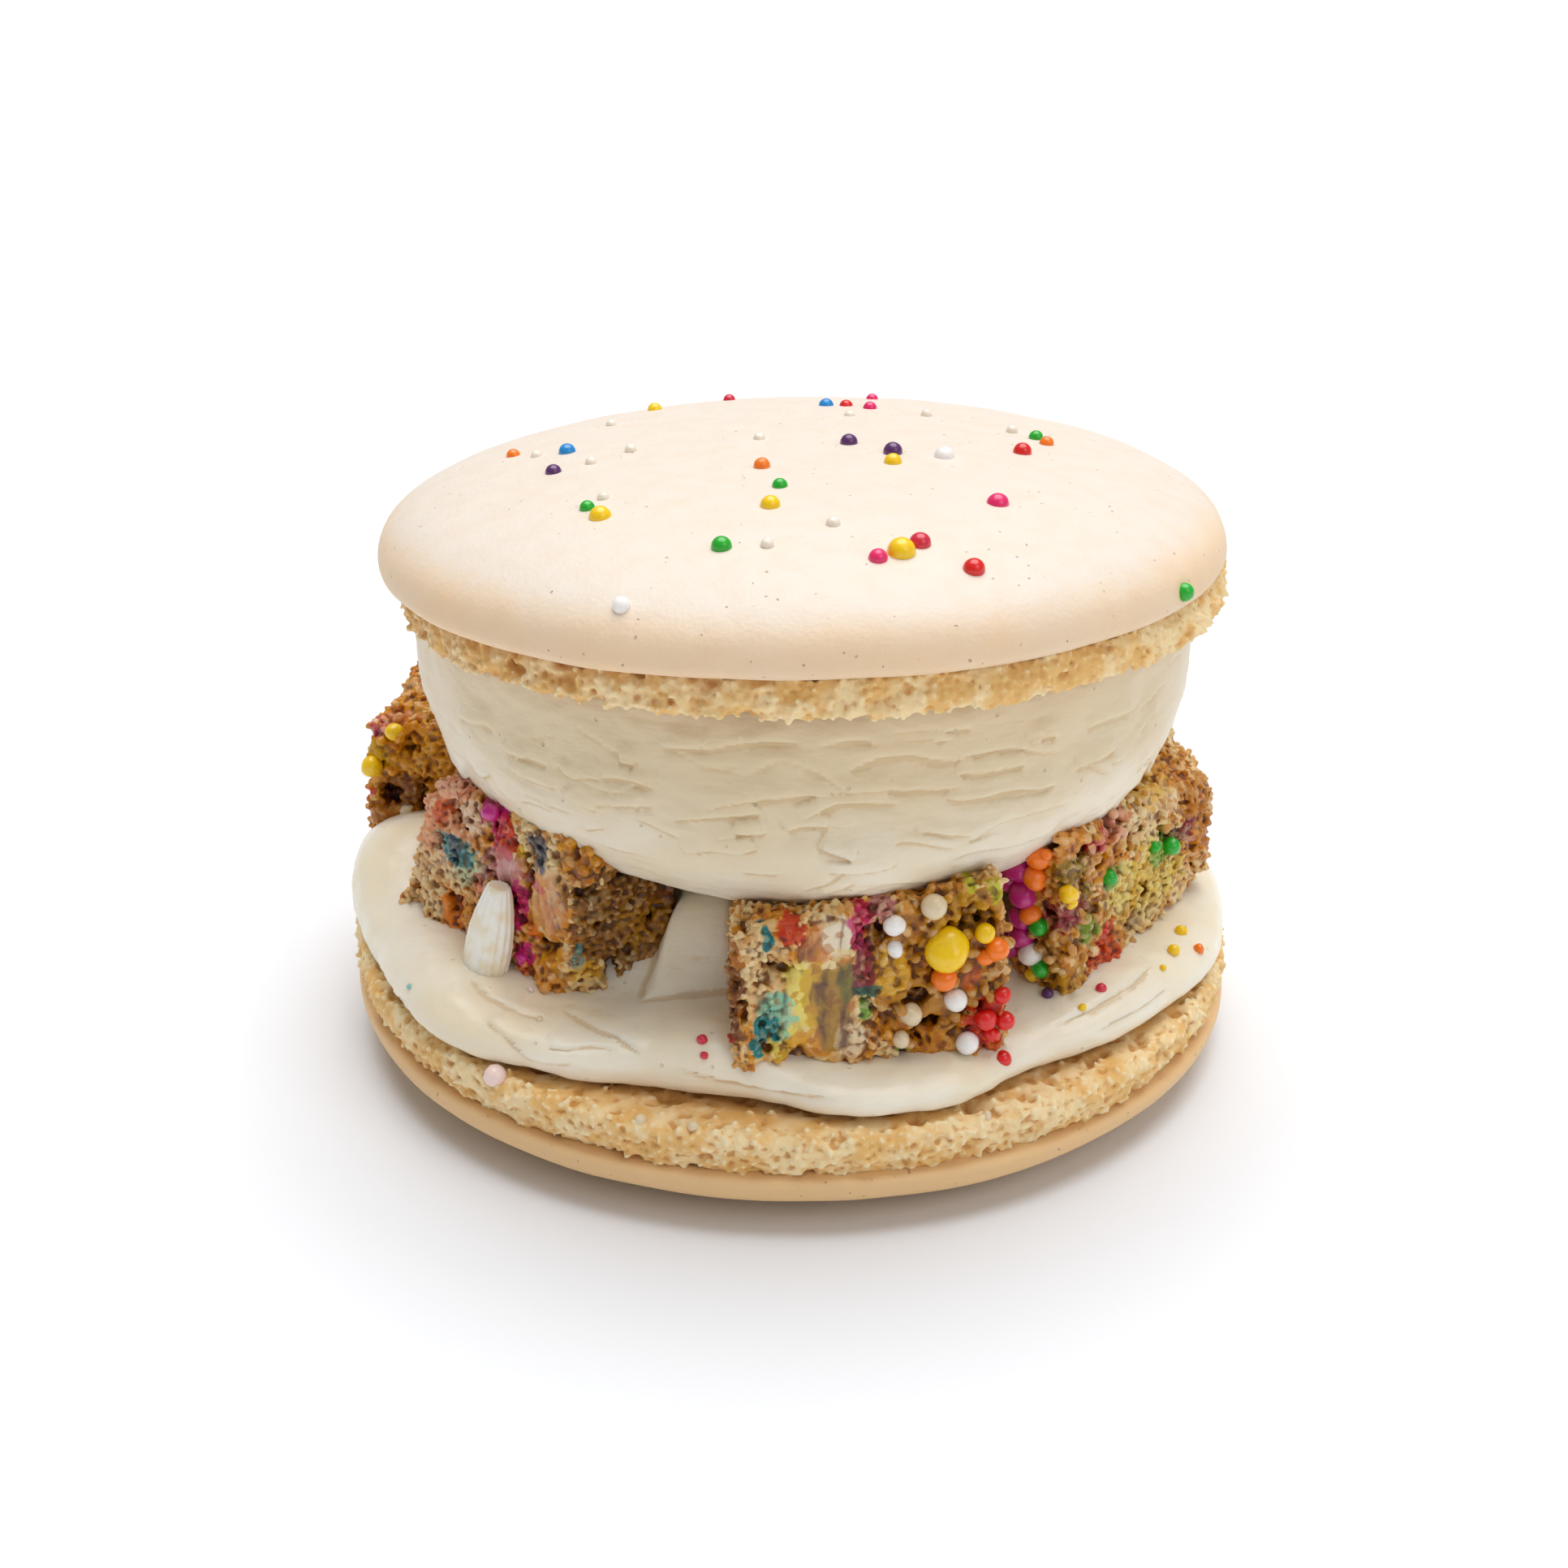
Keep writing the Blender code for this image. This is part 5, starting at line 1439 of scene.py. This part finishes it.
def make_cake(look):
    """The crumb of every chunk, each made from the smooth block of its corners."""
    for index, (name, corners) in enumerate(all_corners().items()):
        smooth = block(name + "_core", corners)
        take(smooth)
        bpy.ops.object.duplicate()
        piece = rename(name + "_crumb")
        hidden = name in HIDDEN_CHUNKS
        before, after = HIDDEN_CAKE_CUBES if hidden else CAKE_CUBES
        zones = ZONES.get(name, ())
        apply_modifier(piece, "REMESH", mode="VOXEL", voxel_size=before)
        relief(piece, torn(index, corners, zones))
        relief(piece, granules(index, corners, zones))
        apply_modifier(piece, "REMESH", mode="VOXEL", voxel_size=after)
        thin_out(piece, MOST_HIDDEN_FACES if hidden else MOST_FACES)
        relief(piece, measured(smooth, room=1.5))
        bpy.data.objects.remove(smooth)
        to_metres(piece)
        settle(piece, "cake", cake_paint(name, look, corners, STAINS[name], zones), name)


# Sprinkles

def strew_balls(name, balls, steps=3):
    """One mesh of uneven sugar balls, from (middle, diameter, lumpiness)."""
    start_clean()
    for index, (middle, diameter, _) in enumerate(balls):
        bpy.ops.mesh.primitive_ico_sphere_add(subdivisions=steps, radius=diameter / 2.0, location=middle)
        if index == 0:
            bpy.ops.object.transform_apply(location=True, rotation=False, scale=False)
            piece = rename(name)
            count = len(piece.data.vertices)
            bpy.ops.object.mode_set(mode="EDIT")
    bpy.ops.object.mode_set(mode="OBJECT")
    for index, vert in enumerate(piece.data.vertices):
        middle, diameter, lumps = balls[index // count]
        out = vert.co - Vector(middle)
        swell = grain(vert.co, diameter * 0.6, 3.0) * (0.03 + lumps * 0.45)
        vert.co = Vector(middle) + out * (1.0 + swell)
    return piece


def make_shell_sprinkles(sugar):
    """Balls on the upper dome, one mesh for each colour."""
    swell = round(sugar.swell, 4)
    rng = random.Random(SEED)
    for colour, places in SHELL_SPRINKLES.items():
        balls = []
        for x, y, diameter in places:
            sunk = rng.uniform(-0.04, 0.08) * diameter
            middle = (x, y, dome_height(math.hypot(x, y)) + sunk)
            balls.append((middle, diameter * swell, 0.0))
        piece = strew_balls("shell_sprinkles_" + colour, balls)
        to_metres(piece, UPPER_AT, UPPER_TILT)
        material = sugar_paint("sugar_" + colour, getattr(sugar, colour))
        settle(piece, "shell", material, "top_shell")


def make_cake_sprinkles(sugar):
    """Balls on the faces of the chunks, one mesh for each colour."""
    corners = all_corners()
    for colour, places in CAKE_BALLS.items():
        balls = []
        nodes = set()
        for chunk, face, across, up, diameter, lumps in places:
            point, out = on_face(corners[chunk], face, across, up)
            balls.append((tuple(point + out * BALLS_OUT * diameter), diameter, lumps))
            nodes.add(chunk)
        piece = strew_balls("cake_sprinkles_" + colour, balls)
        to_metres(piece)
        material = sugar_paint("candy_" + colour, getattr(sugar, colour))
        settle(piece, "cake", material, *sorted(nodes))


def drop(carriers, x, y):
    """Height in millimetres of the highest carrier at a place that nothing else covers."""
    above_all = 60.0
    start = Vector((x, y, above_all)) * MM
    heights = []
    for carrier in carriers:
        hit, point, _, _ = carrier.ray_cast(start, Vector((0.0, 0.0, -1.0)))
        if hit:
            heights.append(point.z / MM)
    if not heights:
        raise ValueError(f"nothing carries a bit at {x}, {y}")
    return max(heights)


def make_loose_bits(sugar):
    """Bits on the lower cream and foot, one mesh for each colour."""
    carriers = [bpy.data.objects["lower_cream_spread"], bpy.data.objects["bottom_shell_foot"]]
    for colour, places in LOOSE_BITS.items():
        balls = []
        for x, y, size, lumps in places:
            balls.append(((x, y, drop(carriers, x, y) + BITS_UP * size), size, lumps))
        piece = strew_balls("loose_bits_" + colour, balls, steps=2)
        to_metres(piece)
        material = sugar_paint("bit_" + colour, getattr(sugar, colour))
        settle(piece, "cream", material, "lower_cream")


def make_chip(look):
    """The ridged white sliver in the left chunk."""
    width = mm("chip_width")
    depth = mm("chip_depth")
    foot = Vector(CHIP_FOOT)
    along = Vector(CHIP_TOP) - foot
    out = Vector(CHIP_OUT)
    side = along.cross(out).normalized()
    start_clean()
    bpy.ops.mesh.primitive_cylinder_add(vertices=24, radius=0.5, depth=1.0)
    piece = rename("chip_sliver")
    bpy.ops.object.mode_set(mode="EDIT")
    bpy.ops.mesh.select_all(action="SELECT")
    bpy.ops.mesh.bevel(offset=0.05, segments=2, affect="EDGES")
    bpy.ops.object.mode_set(mode="OBJECT")
    apply_modifier(piece, "REMESH", mode="VOXEL", voxel_size=CHIP_CUBE)

    def sliver(co):
        share = co.z + 0.5
        swell = 0.45 + 0.55 * math.sin(math.pi * min(1.0, share * 0.85 + 0.12))
        turn = math.atan2(co.y, co.x)
        groove = 0.05 * math.cos(CHIP_GROOVES * turn + 1.5 * share)
        ridge = 1.0 + groove + 0.05 * grain((turn * 2.0, share, 0.0), 0.6)
        across = side * co.x * width * swell * ridge
        return foot + along * share + across + out * co.y * depth * swell * ridge

    def rough(graph, mesh, place, normal):
        mesh = push(graph, mesh, normal * (graph.noise(place, 0.5, 2.0) - 0.5) * 0.12)
        return note(graph, mesh, "ridge", crest(graph, place, normal, 3))

    reshape(piece, sliver)
    relief(piece, rough)
    to_metres(piece)
    material, graph, shader, place = paint("chip_white", 0.4, glow=0.3, reach=(1.0, 0.8, 0.6))
    colour = graph.blend(graph.noise(place, 1.5, 3.0).between(0.4, 0.7), look.chip, look.chip_warm_and_groove_shade)
    # Painted shade: the grooves of the chip are painted warmer and darker.
    colour = graph.blend(noted(graph, "ridge").between(0.0, -0.05) * 0.5, colour, look.chip_warm_and_groove_shade)
    wire_up(graph, shader, Base_Color=colour, Normal=bump(graph, graph.noise(place, 0.3, 2.0) * 0.04))
    settle(piece, "chip", material, "white_chip")


# Stage

FLOOR_SIZE = 6.0             # metres, as are the places that the lights shine from
KEY_FROM = (0.03, 0.12, 0.50)
FRONT_FROM = (0.38, -0.40, 0.42)
NEAREST_SEEN = 0.01


def add_sun(name, place, strength, spread):
    """A sun that shines from a place towards the middle of the floor."""
    bpy.ops.object.light_add(type="SUN", location=place)
    sun = rename(name)
    sun.data.angle = spread
    sun.data.energy = strength
    sun.rotation_euler = sun.location.to_track_quat("Z", "Y").to_euler()


def make_stage(stage):
    """The floor, the world, the lights and the camera."""
    start_clean()
    bpy.ops.mesh.primitive_plane_add(size=FLOOR_SIZE)
    floor = rename("floor")
    material, _, shader, _ = paint("paper", 0.9)
    shader.inputs["Base Color"].default_value = (*stage.floor, 1.0)
    shader.inputs["Specular IOR Level"].default_value = 0.0
    floor.data.materials.append(material)

    world = bpy.data.worlds.new("studio")
    world.use_nodes = True
    background = world.node_tree.nodes["Background"]
    background.inputs["Color"].default_value = (1.0, 1.0, 1.0, 1.0)
    # White to the camera, and a faint light to all else.
    seen = Graph(world.node_tree).node("ShaderNodeLightPath", {}, {}, "Is Camera Ray")
    strength = seen * (1.0 - stage.fill) + stage.fill
    world.node_tree.links.new(strength.socket, background.inputs["Strength"])
    bpy.context.scene.world = world
    bpy.context.scene.view_settings.view_transform = "Standard"
    bpy.context.scene.view_settings.exposure = stage.exposure

    add_sun("key_light", KEY_FROM, stage.key, stage.key_spread)
    add_sun("front_light", FRONT_FROM, stage.front, stage.front_spread)

    bpy.ops.object.camera_add(
        location=(stage.camera_side, -stage.camera_back, stage.camera_height),
        rotation=(math.pi / 2.0 - stage.camera_down, 0.0, 0.0))
    camera = rename("camera")
    camera.data.lens = stage.lens
    camera.data.clip_start = NEAREST_SEEN
    bpy.context.scene.camera = camera


# Settings

def colour_setting(name, description, default):
    """A colour that a user can change."""
    return FloatVectorProperty(
        name=name, description=description, subtype="COLOR", size=3, min=0.0, max=1.0, default=default)


def length_setting(name, description, millimetres):
    """A length that a user can change."""
    return FloatProperty(
        name=name, description=description, default=millimetres * MM, min=0.0, precision=5,
        unit="LENGTH", subtype="DISTANCE")


class MacaronSizes(bpy.types.PropertyGroup):
    """Sizes of the pieces; each still has to cover the solid that it stands for"""
    spot_radius: length_setting("Spot", "Radius of the flat spot that it rests on", 24.0)
    lower_radius: length_setting("Lower shell", "Radius of the lower shell's skin", 37.6)
    lower_rise: length_setting("Lower rise", "Height of the lower skin's widest place", 4.2)
    lower_foot_radius: length_setting("Lower foot", "Radius of the lower shell's foot", 37.8)
    upper_radius: length_setting("Upper shell", "Radius of the upper shell's skin", 34.26)
    dome_rise: length_setting("Dome", "Height of the upper dome above its widest place", 7.95)
    upper_foot_radius: length_setting("Upper foot", "Radius of the upper shell's foot", 33.6)
    upper_foot_depth: length_setting("Upper foot depth", "Height of the upper shell's foot", 3.26)
    bowl_radius: length_setting("Upper cream", "Radius of the upper cream at its rim", 32.0)
    lip_height: length_setting("Cream lips", "Height of the lips in the cream", 0.27)
    lip_reach: length_setting("Lip reach", "How far uphill a lip starts to rise", 2.0)
    worn_edge: length_setting("Worn edges", "How far the edges of the cake are worn off", 1.0)
    chip_width: length_setting("Chip width", "Width of the white chip", 4.2)
    chip_depth: length_setting("Chip depth", "Thickness of the white chip", 3.0)


class MacaronLook(bpy.types.PropertyGroup):
    """Colours of the shells, the cream, the cake and the chip"""
    skin_pale: colour_setting("Skin", "Middle of a shell's skin", tint(231, 219, 205))
    skin_tan: colour_setting("Skin rim", "Skin near a shell's rim", tint(244, 209, 164))
    skin_lower: colour_setting("Lower skin rim", "Skin near the lower shell's rim", tint(236, 196, 142))
    skin_mottle: colour_setting("Skin mottling", "Faint clouds on the skin", tint(226, 190, 150))
    pore: colour_setting("Pores", "Small pores in the skin", tint(172, 124, 78))
    foot_pale: colour_setting("Foot", "Crumb of a shell's foot", tint(247, 220, 168))
    foot_mid: colour_setting("Foot, baked", "Darker crumb of a foot", tint(236, 190, 116))
    # Painted shade in the hollows of a foot, and the tan of its inner ring.
    foot_gold_and_shade: colour_setting("Foot hollows", "Hollows of a foot", tint(208, 148, 74))
    # Painted highlight on the ridges of a foot.
    foot_painted_highlight: colour_setting("Foot ridges", "Ridges of a foot", tint(252, 237, 202))
    cream: colour_setting("Cream", "Buttercream", tint(246, 238, 220))
    cream_warm: colour_setting("Cream, warm", "Warmer patches of buttercream", tint(242, 229, 202))
    # Painted shade of the buttercream under the upper shell.
    cream_painted_shade: colour_setting("Cream, high", "Buttercream near the upper shell", tint(228, 208, 171))
    # Painted shade in the folds and crevices of the buttercream.
    cream_painted_fold_shade: colour_setting("Cream folds", "Buttercream in its folds", tint(212, 180, 128))
    crumb_pale: colour_setting("Crumb", "Pale cake crumb", tint(248, 226, 184))
    crumb_tan: colour_setting("Crumb, tan", "Tan cake crumb", tint(222, 162, 104))
    # Lightest crumbs, and also the painted highlight on the ridges of the cake.
    crumb_light_and_highlight: colour_setting("Crumb, light", "Lightest crumbs", tint(250, 234, 204))
    crumb_brown: colour_setting("Crumb, brown", "Brown crumbs", tint(196, 128, 66))
    # Painted shade in the crevices and hollows of the cake.
    crumb_painted_shade: colour_setting("Crumb hollows", "Tone of hollows in the cake", tint(112, 58, 20))
    chip: colour_setting("Chip", "White chip", tint(254, 250, 240))
    # Warmer patches of the chip, and also the painted shade in its grooves.
    chip_warm_and_groove_shade: colour_setting("Chip, warm", "Grooves of the chip", tint(244, 230, 200))


class MacaronSugar(bpy.types.PropertyGroup):
    """Size and colours of the sprinkles and loose bits"""
    swell: FloatProperty(
        name="Swell", description="Size of the sprinkles on the upper shell, as a share of the listed one",
        default=1.1, min=0.1, soft_max=2.0, subtype="FACTOR")
    blue: colour_setting("Blue", "Blue sugar", tint(30, 140, 214))
    red: colour_setting("Red", "Red sugar", tint(226, 28, 22))
    pink: colour_setting("Pink", "Pink sugar", tint(236, 40, 108))
    orange: colour_setting("Orange", "Orange sugar", tint(255, 128, 20))
    purple: colour_setting("Purple", "Purple sugar", tint(92, 44, 104))
    green: colour_setting("Green", "Green sugar", tint(30, 176, 40))
    yellow: colour_setting("Yellow", "Yellow sugar", tint(254, 208, 10))
    rose: colour_setting("Rose", "Rose sugar", tint(214, 40, 66))
    white: colour_setting("White", "White sugar", tint(250, 246, 242))
    ivory: colour_setting("Ivory", "Ivory sugar", tint(232, 212, 176))
    cream: colour_setting("Cream", "Cream sugar", tint(246, 234, 218))
    blush: colour_setting("Blush", "Blush sugar", tint(250, 222, 214))
    mint: colour_setting("Mint", "Mint sugar", tint(140, 200, 190))
    magenta: colour_setting("Magenta", "Magenta sugar", tint(200, 36, 134))


class MacaronStage(bpy.types.PropertyGroup):
    """Camera, lights and floor"""
    camera_side: FloatProperty(
        name="Camera offset", description="How far the camera is to the right",
        default=-0.00058, unit="LENGTH", subtype="DISTANCE")
    camera_back: FloatProperty(
        name="Camera distance", description="From the middle of the macaron to the camera, level",
        default=0.200, unit="LENGTH", subtype="DISTANCE")
    camera_height: FloatProperty(
        name="Camera height", description="Camera above the floor",
        default=0.1141, unit="LENGTH", subtype="DISTANCE")
    camera_down: FloatProperty(
        name="Camera pitch", description="How far the camera looks down",
        default=0.438, unit="ROTATION", subtype="ANGLE")
    lens: FloatProperty(
        name="Lens", description="Focal length", default=59.27, unit="CAMERA")
    key: FloatProperty(
        name="Key light", description="Strength of the soft light from above", default=2.3)
    key_spread: FloatProperty(
        name="Key spread", description="Width of the key light, as the floor sees it",
        default=1.0, unit="ROTATION", subtype="ANGLE")
    front: FloatProperty(
        name="Front light", description="Strength of the soft light from the front right", default=0.42)
    front_spread: FloatProperty(
        name="Front spread", description="Width of the front light, as the floor sees it",
        default=0.7, unit="ROTATION", subtype="ANGLE")
    fill: FloatProperty(
        name="Room light", description="Strength of the light from all around", default=0.22)
    exposure: FloatProperty(
        name="Exposure", description="Brightness of the picture, in stops", default=0.38)
    floor: colour_setting("Floor", "Paper that the macaron stands on", tint(235, 237, 241))


class MacaronPiece:
    """What all operators here share"""
    bl_options = {"REGISTER", "UNDO"}


class MACARON_OT_lower_shell(MacaronPiece, bpy.types.Operator):
    """Build the lower shell: its skin and its foot"""
    bl_idname = "macaron.lower_shell"
    bl_label = "Lower shell"

    def execute(self, context):
        make_lower_shell(context.scene.macaron_look)
        return {"FINISHED"}


class MACARON_OT_lower_cream(MacaronPiece, bpy.types.Operator):
    """Build the cream that the cake stands in"""
    bl_idname = "macaron.lower_cream"
    bl_label = "Lower cream"

    def execute(self, context):
        make_lower_cream(context.scene.macaron_look)
        return {"FINISHED"}


class MACARON_OT_cake(MacaronPiece, bpy.types.Operator):
    """Build the chunks of confetti cake"""
    bl_idname = "macaron.cake"
    bl_label = "Cake"

    def execute(self, context):
        make_cake(context.scene.macaron_look)
        return {"FINISHED"}


class MACARON_OT_cake_sprinkles(MacaronPiece, bpy.types.Operator):
    """Build the sugar balls in the cake"""
    bl_idname = "macaron.cake_sprinkles"
    bl_label = "Cake sprinkles"

    def execute(self, context):
        make_cake_sprinkles(context.scene.macaron_sugar)
        return {"FINISHED"}


class MACARON_OT_chip(MacaronPiece, bpy.types.Operator):
    """Build the white chip in the left chunk"""
    bl_idname = "macaron.chip"
    bl_label = "White chip"

    def execute(self, context):
        make_chip(context.scene.macaron_look)
        return {"FINISHED"}


class MACARON_OT_upper_cream(MacaronPiece, bpy.types.Operator):
    """Build the bowl of cream under the upper shell"""
    bl_idname = "macaron.upper_cream"
    bl_label = "Upper cream"

    def execute(self, context):
        make_upper_cream(context.scene.macaron_look)
        return {"FINISHED"}


class MACARON_OT_upper_shell(MacaronPiece, bpy.types.Operator):
    """Build the upper shell: its skin and its foot"""
    bl_idname = "macaron.upper_shell"
    bl_label = "Upper shell"

    def execute(self, context):
        make_upper_shell(context.scene.macaron_look)
        return {"FINISHED"}


class MACARON_OT_shell_sprinkles(MacaronPiece, bpy.types.Operator):
    """Build the nonpareils on the upper shell"""
    bl_idname = "macaron.shell_sprinkles"
    bl_label = "Shell sprinkles"

    def execute(self, context):
        make_shell_sprinkles(context.scene.macaron_sugar)
        return {"FINISHED"}


class MACARON_OT_loose_bits(MacaronPiece, bpy.types.Operator):
    """Build the loose crumbs and sprinkles; the lower shell and its cream come first"""
    bl_idname = "macaron.loose_bits"
    bl_label = "Loose bits"

    def execute(self, context):
        make_loose_bits(context.scene.macaron_sugar)
        return {"FINISHED"}


class MACARON_OT_stage(MacaronPiece, bpy.types.Operator):
    """Build the floor, the lights and the camera"""
    bl_idname = "macaron.stage"
    bl_label = "Stage"

    def execute(self, context):
        make_stage(context.scene.macaron_stage)
        return {"FINISHED"}


class MACARON_PT_panel(bpy.types.Panel):
    """Lists the pieces of the macaron and their settings"""
    bl_label = "Filled Macaron"
    bl_idname = "MACARON_PT_panel"
    bl_space_type = "VIEW_3D"
    bl_region_type = "UI"
    bl_category = "Macaron"

    def draw(self, context):
        for operator in PIECES:
            self.layout.operator(operator.bl_idname)
        for group in GROUPS:
            settings = getattr(context.scene, group)
            for name in settings.__annotations__:
                self.layout.prop(settings, name)


PIECES = (
    MACARON_OT_lower_shell,
    MACARON_OT_lower_cream,
    MACARON_OT_cake,
    MACARON_OT_cake_sprinkles,
    MACARON_OT_chip,
    MACARON_OT_upper_cream,
    MACARON_OT_upper_shell,
    MACARON_OT_shell_sprinkles,
    MACARON_OT_loose_bits,
    MACARON_OT_stage,
)
GROUPS = {
    "macaron_sizes": MacaronSizes,
    "macaron_look": MacaronLook,
    "macaron_sugar": MacaronSugar,
    "macaron_stage": MacaronStage,
}
CLASSES = (*GROUPS.values(), *PIECES, MACARON_PT_panel)


def register():
    for item in CLASSES:
        bpy.utils.register_class(item)
    for name, group in GROUPS.items():
        setattr(bpy.types.Scene, name, PointerProperty(type=group))


def unregister():
    for name in GROUPS:
        delattr(bpy.types.Scene, name)
    for item in reversed(CLASSES):
        bpy.utils.unregister_class(item)


def main():
    """Build every piece and the stage."""
    register()
    bpy.ops.macaron.lower_shell()
    bpy.ops.macaron.lower_cream()
    bpy.ops.macaron.cake()
    bpy.ops.macaron.cake_sprinkles()
    bpy.ops.macaron.chip()
    bpy.ops.macaron.upper_cream()
    bpy.ops.macaron.upper_shell()
    bpy.ops.macaron.shell_sprinkles()
    bpy.ops.macaron.loose_bits()
    bpy.ops.macaron.stage()


if __name__ == "__main__":
    main()
